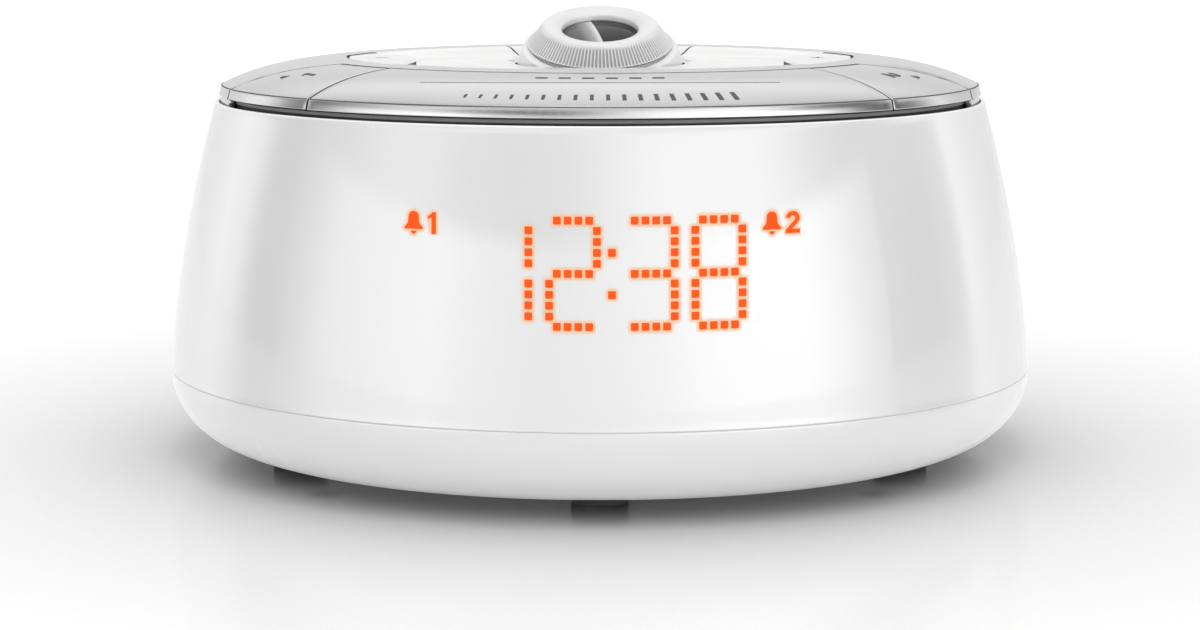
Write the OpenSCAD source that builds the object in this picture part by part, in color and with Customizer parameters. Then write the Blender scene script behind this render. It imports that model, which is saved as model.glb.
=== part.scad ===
// Projection alarm clock: a round drum with a domed key deck, a dotted
// display behind its front wall and a swivelling projector on top.
// Millimetres. Origin: centre of the footprint, on the standing surface.
// +Z up, the display faces -Y.

/* [Body shell] */
// Largest radius, at the seam between base and body
seam_r = 89; // [86:0.5:94]
// Radius of the body at its top rim
rim_r = 79.1; // [79:0.1:80]
// Height of the seam between base and body
seam_z = 17.6; // [16:0.2:19]
// Height of the body's top rim
rim_z = 72.2; // [72:0.2:75]
// How far the body side bulges past a straight cone
side_bulge = 1.5; // [0:0.1:2.5]
// Wall thickness of the body shell
wall = 2.4; // [2:0.1:2.8]
// Thickness of the thin lip at the top rim
rim_lip = 0.8; // [0.6:0.1:1]
// Depth of the ledge below the rim, where the deck sits
ledge_depth = 2.7; // [2.5:0.1:3]

/* [Base] */
// Height of the shell's underside above the standing surface
foot_h = 2.5; // [2:0.1:3]
// Radius of the flat underside
base_flat_r = 73.2; // [72:0.2:75]
// Thickness of the base floor
base_floor_t = 3.6; // [3.4:0.1:4]
// Radius of a rubber foot
foot_r = 5.5; // [4.5:0.1:6]
// Distance of the feet from the axis
foot_ring_r = 64.2; // [63:0.2:65]
// Depth that a foot is let into the floor
foot_inset = 1; // [0.6:0.1:1.4]
// Number of feet
foot_count = 5; // [5:1:5]

/* [Posts and screws] */
// Distance of the shell's screw posts from the axis
post_ring_r = 70; // [69.6:0.1:70.4]
// Radius of a screw post
post_r = 3.6; // [3.2:0.1:3.8]
// Radius of a screw's shank
shank_r = 1.25; // [1:0.05:1.3]
// Radius of a screw's head
head_r = 2.7; // [2.3:0.1:2.8]
// Height of a screw's head
head_h = 1.5; // [1.2:0.1:1.6]
// Gap between a shank and its hole
shank_gap = 0.1; // [0.05:0.01:0.15]

/* [Top ring] */
// Radius of the dome at its outer edge
edge_r = 77.9; // [77.5:0.1:78.1]
// Height of the dome's outer edge
edge_z = 75.4; // [75.2:0.1:76.4]
// Height of the rim wall below the dome's edge
edge_h = 1.9; // [1.7:0.1:2]
// How far the rim wall flares outward
edge_flare = 0.5; // [0.3:0.1:0.7]
// Rise of the dome from its edge to its centre
dome_h = 5.8; // [5.5:0.1:6.2]
// Shape of the dome: a high power is flat on top and steep at the edge
dome_power = 7; // [6:0.5:8]
// Thickness of the dome shell
dome_t = 1.8; // [1.5:0.1:2]

/* [Keys] */
// Inner radius of the three front keys
key_inner_r = 57.4; // [57:0.1:58]
// Half angle of the centre key, from the front
key_split_angle = 45; // [43:0.5:46]
// Distance of the side keys' back edge in front of the axis
side_key_back = 26; // [25:0.5:27]
// Gap around every key
key_gap = 0.4; // [0.3:0.05:0.5]
// How far a key is pressed
key_travel = 0.8; // [0.5:0.1:0.9]
// Wall thickness of a key cap
key_wall = 1.5; // [1.2:0.1:1.7]
// Radius of a key's guide pin
guide_r = 2; // [1.8:0.1:2.2]
// Running clearance of a guide pin in its bore
guide_gap = 0.08; // [0.05:0.01:0.1]
// Length of the snap head under the deck
snap_h = 1.2; // [0.8:0.1:1.4]
// Radius of the post that presses the switch
pusher_r = 1.5; // [1.2:0.1:1.6]

/* [Key panel] */
// Radius of the panel's front edge
panel_front_r = 52.3; // [52:0.1:53]
// Radius of the panel's back edge
panel_back_r = 56; // [55:0.5:57]
// Distance of the back edge's centre in front of the axis
panel_back_y = 20; // [19:0.5:21]
// Depth of the dished floor under the top of the dome
panel_depth = 3.7; // [3.4:0.1:3.9]
// Thickness of the dished floor
panel_t = 1.6; // [1.4:0.1:1.8]
// Width of the sloping wall around the dish
panel_slope = 4; // [3:0.5:5]
// Gap between the panel and the ring around it
panel_gap = 0.15; // [0.1:0.05:0.25]
// Width of the rim left flush with the dome
panel_rim = 0.8; // [0.5:0.1:1]
// Distance from the axis to the centre of an end key's round edge
end_key_x = 77; // [76:0.5:78]
// Radius of an end key's round edge
end_key_r = 40.6; // [40:0.2:41]
// How far in front of the axis the end keys' edge is centred
end_key_y = 19; // [18:0.5:20]
// Half angle of the projection key behind the projector
rear_key_angle = 33; // [31:0.5:36]

/* [Projector] */
// Radius of the projector's collar at its foot
collar_r = 17.2; // [16.8:0.1:17.6]
// How much the collar narrows towards its top
collar_taper = 2; // [1.6:0.1:2.2]
// Wall thickness of the collar
collar_t = 1.8; // [1.5:0.1:2]
// Gap between the collar and the panel
collar_gap = 0.4; // [0.3:0.05:0.6]
// Tilt of the lens axis towards the front
tilt = 18; // [15:0.5:19]
// Height of the centre of the focus ring's lower edge
focus_z = 83.1; // [82.8:0.1:83.6]
// Radius of the focus ring's lower edge
focus_r = 15; // [14.8:0.1:15.2]
// Radius of the focus ring at the top of its ribs
focus_top_r = 12.1; // [11.8:0.1:12.5]
// Height of the ribbed band
focus_band_h = 3.6; // [3.3:0.1:3.9]
// Height of the crown above the ribs
crown_h = 0.9; // [0.7:0.1:1.1]
// Radius of the opening over the lens
mouth_r = 7.9; // [7.6:0.1:8]
// Radius of the lip around the opening
lip_r = 9.4; // [9.1:0.1:9.7]
// Number of ribs on the focus ring
rib_count = 116; // [60:4:120]
// Width of the groove between two ribs
groove_w = 0.36; // [0.25:0.01:0.4]
// Depth of the groove between two ribs
groove_d = 0.28; // [0.15:0.01:0.35]
// Outer radius of the tilted neck that carries the ring
neck_r = 10; // [9.8:0.1:10.3]
// Radius of the neck's bore
neck_bore_r = 8.6; // [8.5:0.05:8.8]
// Running clearance of the ring, the barrel and the journal
running_gap = 0.08; // [0.05:0.01:0.1]
// Radius of the journal that turns in the deck
journal_r = 14.5; // [14.3:0.1:14.7]
// Wall thickness of the journal
journal_t = 1.9; // [1.6:0.1:2]
// How far the lens barrel moves each way from the middle
focus_travel = 1; // [0.6:0.1:1]
// Wall thickness of the lens barrel
barrel_t = 1.1; // [0.9:0.1:1.3]
// Length of the lens barrel
barrel_len = 6.2; // [5.5:0.1:6.2]
// Radius of the lamp tube
lamp_tube_r = 7.3; // [7:0.1:7.4]
// Length of the lamp tube below its flange
lamp_tube_len = 12; // [11:0.5:13]

/* [Display] */
// Side of one square light dot
dot = 1.43; // [1.2:0.01:1.6]
// Distance between neighbouring dots
dot_pitch = 1.94; // [1.85:0.01:2]
// Distance between two digits
digit_pitch = 12.35; // [12:0.05:12.8]
// Extra distance around the colon
colon_gap = 1.68; // [1.4:0.02:2]
// How far the display's middle lies to the right of the axis
display_x = 2.15; // [0:0.05:3]
// Height of the display's middle
display_z = 46.1; // [45:0.1:47]
// Half height of a digit
digit_half_h = 9.42; // [9.2:0.02:9.7]
// Half width of a digit
digit_half_w = 4.3; // [4.2:0.05:4.6]
// Height of the light mask
mask_h = 30; // [29:0.5:31]
// Half width of the light mask
mask_half_w = 39.5; // [39:0.5:40.5]
// How far the middle of an alarm sign lies from the axis
icon_x = 33; // [32.5:0.1:33.2]
// Half width of an alarm sign's window
icon_half_w = 3.7; // [3.4:0.1:3.8]
// How far behind the front the display board's face lies
board_face_y = 63.6; // [62:0.2:64]
// Gap between the light mask and the wall
mask_gap = 0.3; // [0.2:0.05:0.5]

/* [Boards and drive parts] */
// Thickness of every circuit board
board_t = 1.6; // [1.2:0.1:1.8]
// Height of the main board's underside
main_board_z = 26; // [25.6:0.2:28]
// Radius of the key board
key_board_r = 66; // [65.5:0.1:66.2]
// Radius of the opening in the key board
key_board_hole_r = 22; // [20:0.5:22.5]
// Distance of the key board below the deck
key_board_drop = 5.5; // [5.5:0.1:6]
// Side of a key switch
switch_w = 6; // [5.5:0.1:6.2]
// Height of a key switch
switch_h = 3.5; // [3.3:0.1:3.6]
// Radius of the speaker
speaker_r = 26; // [24:0.5:26]
// Height of the speaker's frame
speaker_h = 11; // [10:0.5:11.5]
// Radius of the speaker's magnet
magnet_r = 13; // [11:0.5:14]
// Height of the speaker's magnet
magnet_h = 6; // [5:0.5:6.5]

/* [Battery bay] */
// Radius of a back-up cell
cell_r = 5.2; // [5:0.05:5.25]
// Length of a back-up cell
cell_len = 44.5; // [44:0.1:44.6]
// Distance between the two cells
cell_pitch = 11.6; // [11:0.1:12]
// Distance of the bay's middle behind the axis
bay_y = 50; // [49:0.5:51]
// Half width of the battery door
door_half_w = 26; // [25.5:0.1:27]
// Thickness of the battery door
door_t = 2; // [1.8:0.1:2.1]
// Gap around the battery door
door_gap = 0.25; // [0.2:0.05:0.3]
// Depth of the door's side tongues
tongue_w = 1.4; // [1.2:0.1:1.6]

/* [Lead outlets] */
// Radius of the mains lead's bore
lead_bore_r = 3; // [2.6:0.1:3.2]
// Radius of the aerial wire's bore
aerial_bore_r = 1.2; // [1:0.1:1.4]
// Height of both outlets
outlet_z = 28; // [26:0.5:32]
// Distance between the two outlets
outlet_pitch = 22; // [20:0.5:26]

/* [Hidden] */
$fn = 96;
foot_angles = [for (i = [0 : foot_count - 1]) i * 360 / foot_count];
// Angles are counted from the front, towards +X
post_angles = [50, 86.5, 126, 234, 273.5, 310];
inner_screw_r = 48;
inner_screw_angles = [45, 135, 225, 315];
curve_steps = 14;
head_gap = 0.4;
foot_round = 0.4;
tongue_gap = 0.2;
tongue_t = 1.6;
tongue_root = 2.5;
deck_under_z = rim_z - ledge_depth;
deck_t = 2;
deck_top_z = deck_under_z + deck_t;
deck_r = rim_r - rim_lip - 0.15;
dome_top_z = edge_z + dome_h;
edge_low_z = edge_z - edge_h;
floor_z = foot_h + base_floor_t;
panel_floor_z = dome_top_z - panel_depth;
panel_under_z = panel_floor_z - panel_t;
key_board_top_z = deck_under_z - key_board_drop;
switch_top_z = key_board_top_z + switch_h;
pusher_low_z = switch_top_z + key_travel;
// Guide pins and pushers, as [radius, angle] pairs or plan points
snooze_guides = [[72, -12], [72, 12], [66, -38], [66, 38]];
snooze_pusher = [62, 0];
side_guides = [[62, 56], [71.5, 64]];
side_pusher = [62, 62.5];
end_guides = [[45, -15.5], [46, 1]];
end_pusher = [44, -7.5];
rear_guides = [[-9, 23.5], [9, 23.5]];
rear_pusher = [0, 27];
// Main board, in plan; its right edge stays clear of the shell's posts
main_board_x = [-20, post_ring_r - post_r - 2.4];
main_board_y = [-32, 30];
board_inset = 4;
main_board_posts = [
    [main_board_x[1] - board_inset, main_board_y[1] - board_inset],
    [main_board_x[1] - board_inset, main_board_y[0] + board_inset],
    [main_board_x[0] + board_inset, main_board_y[1] - board_inset],
    [30, main_board_y[0] + board_inset]];
shield_size = [24, 20, 8];
shield_at = [main_board_x[1] - 30, -4];
shield_t = 0.4;
socket_size = [16, 5, 5];
socket_at = [main_board_x[1] - 34, main_board_y[1] - 6];
cable_w = 14;
cable_t = 0.4;
speaker_y = -22;
speaker_flange_t = 1.6;
slot_w = 2;
slot_pitch = 5.2;
floor_bite = 2.2;
transformer_at = [-42, 10];
transformer_size = [32, 16, 28];
bay_wall = 1.2;
bay_half_l = cell_len / 2 + 2.2;
bay_half_w = cell_pitch / 2 + cell_r + 0.4;
cell_z = foot_h + door_t + 0.5 + cell_r;
barrel_r = neck_bore_r - running_gap;
barrel_low_s = 1.2 - barrel_len;
neck_top_s = 2.2;
ring_low_s = 0.25;
lamp_flange_s = barrel_low_s - focus_travel - 0.2;
lamp_flange_h = 2.8;
gland_t = 1.5;
gland_y = [seam_r - 9.5, seam_r - 1.8];
// How much further in the wall lies at the aerial gland
aerial_step = 2.6;
thin = 0.01;

// ---------- helpers ----------

function polar(r, angle) = [r * sin(angle), -r * cos(angle)];
function lerp(a, b, t) = a + (b - a) * t;
function body_t(z) = (z - seam_z) / (rim_z - seam_z);
function body_r(z) = lerp(seam_r, rim_r, body_t(z)) + side_bulge * 4 * body_t(z) * (1 - body_t(z));
function dome_z(r) = edge_z + dome_h * (1 - pow(r / edge_r, dome_power));

// Points up the body side, moved in by an inset
function body_points(z0, z1, inset) =
    [for (i = [0 : curve_steps]) let (z = lerp(z0, z1, i / curve_steps)) [body_r(z) - inset, z]];

// Points of the base's rounded flank, from the flat underside up to the seam
function base_points(side_inset, floor_inset) =
    [for (i = [0 : curve_steps]) let (a = 90 * i / curve_steps)
        [base_flat_r + (seam_r - base_flat_r - side_inset) * sin(a),
         seam_z - (seam_z - foot_h - floor_inset) * cos(a)]];

// Points over the dome, from its edge to the axis, sunk by a depth
function dome_points(edge_inset, sink) =
    [for (i = [0 : curve_steps])
        let (r = (edge_r - edge_inset) * pow(cos(90 * i / curve_steps), 0.55))
        [i == curve_steps ? 0 : r, dome_z(r) - sink]];

module ring_of(r, angles)
    for (a = angles) translate([polar(r, a)[0], polar(r, a)[1], 0]) children();

module at_each(points)
    for (p = points) translate([p[0], p[1], 0]) children();

module at_polar(spots)
    for (s = spots) translate([polar(s[0], s[1])[0], polar(s[0], s[1])[1], 0]) children();

module pole(r, z0, z1) translate([0, 0, z0]) cylinder(r = r, h = z1 - z0);

module pipe(r_out, r_in, z0, z1)
    difference() {
        pole(r_out, z0, z1);
        pole(r_in, z0 - 1, z1 + 1);
    }

module box(x, y, z)
    translate([x[0], y[0], z[0]]) cube([x[1] - x[0], y[1] - y[0], z[1] - z[0]]);

// A pan-head screw with its head's top at z = 0 and its shank down -Z
module screw(length)
    difference() {
        union() {
            pole(head_r, -head_h, 0);
            pole(shank_r, -length, -head_h + thin);
        }
        box([-head_r, head_r], [-0.35, 0.35], [-0.7, 1]);
        box([-0.35, 0.35], [-head_r, head_r], [-0.7, 1]);
    }

// Moves its children onto the tilted lens axis; s = 0 at the ring's lower edge
module on_lens_axis() translate([0, 0, focus_z]) rotate([tilt, 0, 0]) children();

// ---------- outlines in plan ----------

module panel_outline(inset)
    intersection() {
        circle(panel_front_r - inset);
        translate([0, -panel_back_y]) circle(panel_back_r - inset);
    }

module wedge(a0, a1, reach)
    polygon([[0, 0], polar(reach, a0), polar(reach, (a0 + a1) / 2), polar(reach, a1)]);

// The front zone that the three front keys fill
module front_zone(inset)
    intersection() {
        difference() {
            circle(edge_r + 4);
            circle(key_inner_r + inset);
        }
        translate([-100, -120]) square([200, 120 - side_key_back - inset]);
    }

module snooze_outline(inset)
    intersection() {
        front_zone(inset);
        translate([0, -inset / sin(key_split_angle)]) wedge(-key_split_angle, key_split_angle, 160);
    }

module alarm_outline(side, inset)
    intersection() {
        front_zone(inset);
        difference() {
            translate([side > 0 ? 0 : -100, -100]) square([100, 100]);
            translate([0, inset / sin(key_split_angle)]) wedge(-key_split_angle, key_split_angle, 160);
        }
    }

module end_outline(side, inset)
    intersection() {
        panel_outline(inset);
        translate([side * end_key_x, -end_key_y]) circle(end_key_r - inset);
    }

// The sector behind the projector, as wide as the panel's opening at inset 0
module rear_sector(inset)
    translate([0, inset / sin(rear_key_angle)]) wedge(180 - rear_key_angle, 180 + rear_key_angle, 120);

module rear_outline(inset)
    intersection() {
        difference() {
            panel_outline(panel_gap + inset);
            circle(collar_r + collar_gap + inset / 2);
        }
        rear_sector(inset);
    }

// ---------- housing ----------

module base_mass(side_inset, floor_inset)
    rotate_extrude()
        polygon(concat(
            [[0, foot_h + floor_inset]],
            base_points(side_inset, floor_inset),
            [[0, seam_z]]));

module grille_slots()
    intersection() {
        circle(speaker_r - 6);
        for (i = [-3 : 3])
            translate([-speaker_r, i * slot_pitch - slot_w / 2]) square([2 * speaker_r, slot_w]);
    }

module door_recess() {
    box([-door_half_w - door_gap, door_half_w + door_gap],
        [bay_y - bay_half_w - 3 - door_gap, seam_r + 5], [foot_h - 1, foot_h + door_t + door_gap]);
    box([-door_half_w - tongue_w - door_gap, door_half_w + tongue_w + door_gap],
        [bay_y - bay_half_w - 1 - door_gap, seam_r + 5],
        [foot_h + 0.8 - door_gap, foot_h + door_t + door_gap]);
}

module base_shell() {
    color("whitesmoke")
    difference() {
        union() {
            difference() {
                base_mass(0, 0);
                base_mass(wall, base_floor_t);
                pole(seam_r - wall, seam_z - thin, seam_z + 1);
            }
            // Tongue that centres the body shell, rooted in the wall below the seam
            pipe(seam_r - wall - tongue_gap, seam_r - wall - tongue_t, seam_z - tongue_root, seam_z + 1.8);
            pipe(seam_r - wall / 2, seam_r - wall - tongue_t, seam_z - tongue_root, seam_z - 1);
            ring_of(post_ring_r, post_angles) pole(post_r + 0.6, floor_z - 0.5, seam_z + 2);
            at_each(main_board_posts) pole(post_r - 0.6, floor_z - 0.5, main_board_z);
        }
        ring_of(post_ring_r, post_angles) {
            pole(shank_r + 2 * shank_gap, foot_h - 1, seam_z + 3);
            pole(head_r + head_gap, foot_h - 1, foot_h + head_h + 0.6);
        }
        at_each(main_board_posts) pole(shank_r + shank_gap, floor_z + 2, main_board_z + 1);
        ring_of(foot_ring_r, foot_angles) pole(foot_r + 0.05, foot_h - 1, foot_h + foot_inset);
        translate([0, speaker_y, foot_h - 1]) linear_extrude(base_floor_t + 2) grille_slots();
        transformer_screw_spots() pole(shank_r + shank_gap, floor_z - floor_bite - 0.2, floor_z + 1);
        speaker_screw_spots() pole(0.9, floor_z - floor_bite - 0.2, floor_z + 1);
        door_recess();
        box([-bay_half_l + 0.5, bay_half_l - 0.5], [bay_y - bay_half_w + 0.5, bay_y + bay_half_w - 0.5],
            [foot_h, floor_z + 1]);
    }
}

module body_shell() {
    color("white")
    difference() {
        union() {
            rotate_extrude()
                polygon(concat(
                    [[body_r(seam_z) - wall, seam_z]],
                    body_points(seam_z, rim_z, 0),
                    [[rim_r - rim_lip, rim_z], [rim_r - rim_lip, deck_under_z]],
                    [for (i = [curve_steps : -1 : 1])
                        let (z = lerp(seam_z, deck_under_z, i / curve_steps)) [body_r(z) - wall, z]]));
            // Screw posts with webs out to the wall
            for (a = post_angles) intersection() {
                union() {
                    ring_of(post_ring_r, [a]) pole(post_r, seam_z + 2, deck_under_z);
                    rotate([0, 0, a - 90])
                        box([post_ring_r, seam_r], [-0.8, 0.8], [seam_z + 3, deck_under_z]);
                }
                body_inside(-0.5);
            }
            // Flat pads behind the lead outlets
            intersection() {
                for (side = [0, 1]) translate([side * outlet_pitch, 0, outlet_z])
                    rotate([-90, 0, 0]) pole(lead_bore_r + 5, seam_r - 7, seam_r);
                body_inside(-0.5);
            }
        }
        ring_of(post_ring_r, post_angles) pole(shank_r + shank_gap, seam_z, seam_z + 16);
        ring_of(post_ring_r, post_angles) pole(shank_r + shank_gap, deck_under_z - 12, rim_z);
        translate([0, 0, outlet_z]) outlet_hole(lead_bore_r);
        translate([outlet_pitch, 0, outlet_z]) outlet_hole(aerial_bore_r);
    }
}

module outlet_hole(bore_r)
    rotate([-90, 0, 0]) pole(bore_r + gland_t + 0.05, 60, seam_r + 2);

// The room inside the body shell; a positive inset shrinks it
module body_inside(inset)
    rotate_extrude()
        polygon(concat([[0, seam_z]], body_points(seam_z, deck_under_z, wall + inset), [[0, deck_under_z]]));

module foot(i)
    color("dimgray") ring_of(foot_ring_r, [foot_angles[i - 1]]) {
        pole(foot_r, foot_round, foot_h + foot_inset);
        cylinder(r1 = foot_r - foot_round, r2 = foot_r, h = foot_round);
    }

module base_screws()
    color("silver") ring_of(post_ring_r, post_angles)
        translate([0, 0, foot_h + 0.4]) mirror([0, 0, 1]) screw(seam_z + 12 - foot_h);

module deck() {
    color("dimgray")
    difference() {
        union() {
            pole(deck_r, deck_under_z, deck_top_z);
            // Neck that shows as a dark channel under the front keys
            pipe(edge_r - 1.6, edge_r - 3.2, deck_top_z - thin, edge_low_z - key_travel - 0.35);
            ring_of(inner_screw_r, inner_screw_angles) pole(3, key_board_top_z, deck_under_z + thin);
        }
        ring_of(inner_screw_r, inner_screw_angles)
            pole(shank_r + shank_gap, key_board_top_z - 1, deck_under_z + 1);
        ring_of(post_ring_r, post_angles) pole(shank_r + 2 * shank_gap, deck_under_z - 1, deck_top_z + 1);
        pole(journal_r + running_gap, deck_under_z - 1, deck_top_z + 1);
        at_polar(snooze_guides) guide_bore();
        at_polar([snooze_pusher]) pusher_hole();
        for (side = [-1, 1]) {
            at_polar([for (g = side_guides) [g[0], side * g[1]]]) guide_bore();
            at_polar([[side_pusher[0], side * side_pusher[1]]]) pusher_hole();
            at_each([for (g = end_guides) [side * g[0], g[1]]]) guide_bore();
            at_each([[side * end_pusher[0], end_pusher[1]]]) pusher_hole();
        }
        at_each(rear_guides) guide_bore();
        at_each([rear_pusher]) pusher_hole();
    }
}

module guide_bore() pole(guide_r + guide_gap, deck_under_z - 1, deck_top_z + 1);
module pusher_hole() pole(pusher_r + 0.9, deck_under_z - 1, deck_top_z + 1);

module deck_screws()
    color("silver") {
        ring_of(post_ring_r, post_angles) translate([0, 0, deck_top_z + head_h]) screw(head_h + 11);
        ring_of(inner_screw_r, inner_screw_angles)
            translate([0, 0, key_board_top_z - board_t - head_h]) mirror([0, 0, 1])
                screw(head_h + board_t + key_board_drop);
    }

module dome_mass(inset, sink, low_z)
    rotate_extrude()
        polygon(concat(
            [[0, low_z], [edge_r + edge_flare - inset, low_z]],
            low_z < edge_low_z - thin ? [[edge_r + edge_flare - inset, edge_low_z]] : [],
            dome_points(inset, sink)));

module top_ring() {
    color("silver")
    difference() {
        union() {
            difference() {
                dome_mass(0, 0, edge_low_z);
                dome_mass(dome_t, dome_t, edge_low_z - 1);
            }
            // Neck at the sides and back, down to the deck
            pipe(edge_r - 0.2, edge_r - 1.5, deck_top_z, edge_low_z + 0.5);
            // Wall in front of the panel, behind the front keys
            intersection() {
                pipe(key_inner_r - key_gap, key_inner_r - key_gap - 1.4, deck_top_z, dome_top_z);
                dome_mass(0, 0.2, deck_top_z - 1);
            }
        }
        translate([0, 0, deck_top_z - 1]) linear_extrude(20) panel_outline(0);
        translate([0, 0, deck_top_z - 1]) linear_extrude(20) front_zone(-key_gap);
        // Room for the heads of the deck screws
        ring_of(post_ring_r, post_angles)
            pole(head_r + head_gap, deck_top_z - 1, deck_top_z + head_h + head_gap);
    }
}

module dish_cut() {
    slope_h = dome_top_z - panel_floor_z;
    intersection() {
        for (edge = [[0, panel_front_r - panel_rim], [-panel_back_y, panel_back_r - panel_rim]])
            translate([0, edge[0], panel_floor_z])
                cylinder(r1 = edge[1] - panel_slope, r2 = edge[1], h = slope_h);
    }
}

module panel_mass(low_z)
    difference() {
        intersection() {
            dome_mass(0, 0, low_z);
            translate([0, 0, low_z]) linear_extrude(20) panel_outline(panel_gap);
        }
        dish_cut();
    }

module key_panel() {
    color("white")
    difference() {
        union() {
            panel_mass(panel_under_z);
            // Skirt that stands on the deck
            translate([0, 0, deck_top_z]) linear_extrude(panel_under_z - deck_top_z + thin)
                difference() {
                    panel_outline(panel_gap);
                    panel_outline(panel_gap + 1.3);
                }
        }
        for (side = [-1, 1])
            translate([0, 0, deck_top_z + 1]) linear_extrude(20) end_outline(side, -thin);
        translate([0, 0, deck_top_z - 1]) linear_extrude(20) rear_sector(0);
        pole(collar_r + collar_gap, deck_top_z - 1, dome_top_z + 5);
    }
}

// ---------- keys ----------

module guide_pin(top_z) {
    pole(guide_r, deck_under_z - 0.1, top_z);
    translate([0, 0, deck_under_z - 0.1 - snap_h])
        cylinder(r1 = guide_r - 0.2, r2 = guide_r + 0.5, h = snap_h);
}

// Pins and pusher of a front key, up into its cap; spots are [radius, angle]
module front_key_legs(guides, pusher) {
    for (g = guides) at_polar([g]) guide_pin(dome_z(g[0] + guide_r) - dome_t + 0.3);
    at_polar([pusher]) pole(pusher_r, pusher_low_z, dome_z(pusher[0]) - dome_t / 2);
}

module front_key() {
    difference() {
        intersection() {
            dome_mass(0, 0, edge_low_z);
            translate([0, 0, edge_low_z - 1]) linear_extrude(20) children(0);
        }
        intersection() {
            dome_mass(key_wall + edge_flare, dome_t, edge_low_z - 1);
            translate([0, 0, edge_low_z - 2]) linear_extrude(20) children(1);
        }
    }
}

module snooze_key() {
    color("silver") {
        front_key() {
            snooze_outline(0);
            snooze_outline(key_wall);
        }
        front_key_legs(snooze_guides, snooze_pusher);
    }
}

module alarm_key(side) {
    color("silver") {
        front_key() {
            alarm_outline(side, key_gap / 2);
            alarm_outline(side, key_gap / 2 + key_wall);
        }
        front_key_legs([for (g = side_guides) [g[0], side * g[1]]], [side_pusher[0], side * side_pusher[1]]);
    }
}

module end_key(side) {
    color("white") {
        intersection() {
            dome_mass(0, 0.15, panel_under_z);
            translate([0, 0, panel_under_z]) linear_extrude(20) end_outline(side, key_gap + panel_gap);
        }
        at_each([for (g = end_guides) [side * g[0], g[1]]]) guide_pin(panel_under_z + 1);
        at_each([[side * end_pusher[0], end_pusher[1]]]) pole(pusher_r, pusher_low_z, panel_under_z + 1);
    }
}

module rear_key() {
    color("white") {
        intersection() {
            panel_mass(panel_under_z);
            translate([0, 0, panel_under_z]) linear_extrude(20) rear_outline(key_gap);
        }
        at_each(rear_guides) guide_pin(panel_under_z + 1);
        at_each([rear_pusher]) pole(pusher_r, pusher_low_z, panel_under_z + 1);
    }
}

// The switch's own button, pushed by the key's post
module plunger(spot)
    color("black") translate([spot[0], spot[1], 0]) pole(1.7, switch_top_z - 1, pusher_low_z);

module key_switches()
    color("dimgray")
    for (spot = concat(
            [polar(snooze_pusher[0], snooze_pusher[1]), rear_pusher],
            [for (side = [-1, 1]) polar(side_pusher[0], side * side_pusher[1])],
            [for (side = [-1, 1]) [side * end_pusher[0], end_pusher[1]]]))
        translate([spot[0], spot[1], 0]) difference() {
            translate([0, 0, key_board_top_z]) linear_extrude(switch_h) square(switch_w, center = true);
            pole(2, switch_top_z - 1.1 - key_travel, switch_top_z + 1);
        }

module key_board()
    color("darkgreen")
    difference() {
        pole(key_board_r, key_board_top_z - board_t, key_board_top_z);
        pole(key_board_hole_r, key_board_top_z - board_t - 1, key_board_top_z + 1);
        ring_of(inner_screw_r, inner_screw_angles)
            pole(shank_r + 2 * shank_gap, key_board_top_z - board_t - 1, key_board_top_z + 1);
        ring_of(post_ring_r, post_angles)
            pole(post_r + 1, key_board_top_z - board_t - 1, key_board_top_z + 1);
    }

// ---------- boards and drive parts ----------

module main_board()
    color("darkgreen")
    difference() {
        box(main_board_x, main_board_y, [main_board_z, main_board_z + board_t]);
        at_each(main_board_posts)
            pole(shank_r + 2 * shank_gap, main_board_z - 1, main_board_z + board_t + 1);
    }

module main_board_parts()
    color("black") translate([0, 0, main_board_z + board_t]) {
        box([10, 24], [-14, 0], [0, 1.6]);
        box([30, 38], [-20, -10], [0, 1.4]);
        for (i = [0 : 3]) translate([-10 + i * 9, 16, 0]) pole(3.2, 0, 9);
        for (i = [0 : 5]) box([-14 + i * 5, -11 + i * 5], [-24, -20], [0, 1.2]);
        box([-14, 0], [-12, -6], [0, 6]);
        translate(socket_at) cube(socket_size);
    }

module tuner_shield()
    color("lightgray") translate([0, 0, main_board_z + board_t])
    difference() {
        translate(shield_at) cube(shield_size);
        translate([shield_at[0] + shield_t, shield_at[1] + shield_t, -shield_t])
            cube(shield_size - [2 * shield_t, 2 * shield_t, 0]);
    }

module key_cable()
    color("gainsboro")
    translate([socket_at[0] + (socket_size[0] - cable_w) / 2, socket_at[1] + socket_size[1] / 2, 0])
        box([0, cable_w], [-cable_t, 0],
            [main_board_z + board_t + socket_size[2], key_board_top_z - board_t]);

digit_centres = [for (i = [0 : 3])
    display_x + (i - 1.5) * digit_pitch + (i < 2 ? -1 : 1) * colon_gap / 2];

// The dots of one seven-segment figure, four to a segment
figure_dots = concat(
    [for (row = [-1, 0, 1], k = [0 : 3]) [(k - 1.5) * dot_pitch, row * digit_half_h]],
    [for (side = [-1, 1], row = [-1, 1], k = [0 : 3])
        [side * digit_half_w, row * digit_half_h / 2 + (k - 1.5) * dot_pitch]]);
colon_dots = [for (row = [-1, 1]) [0, row * 3.74]];
icon_low = 6;
icon_high = 10.6;

module each_dot() {
    for (cx = digit_centres, d = figure_dots)
        translate([cx + d[0], 0, display_z + d[1]]) children();
    for (d = colon_dots)
        translate([display_x, 0, display_z + d[1]]) children();
}

module display_board()
    color("darkgreen")
    difference() {
        box([-mask_half_w, mask_half_w], [-board_face_y, -board_face_y + board_t],
            [display_z - mask_h / 2 - 1, display_z + mask_h / 2 + 1]);
        display_screw_spots() rotate([90, 0, 0]) pole(shank_r + 2 * shank_gap, -5, 5);
    }

module display_screw_spots()
    for (sx = [-1, 1], sz = [-1, 1])
        translate([sx * (mask_half_w - 5), -board_face_y, display_z + sz * (mask_h / 2 - 2.6)])
            children();

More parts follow.
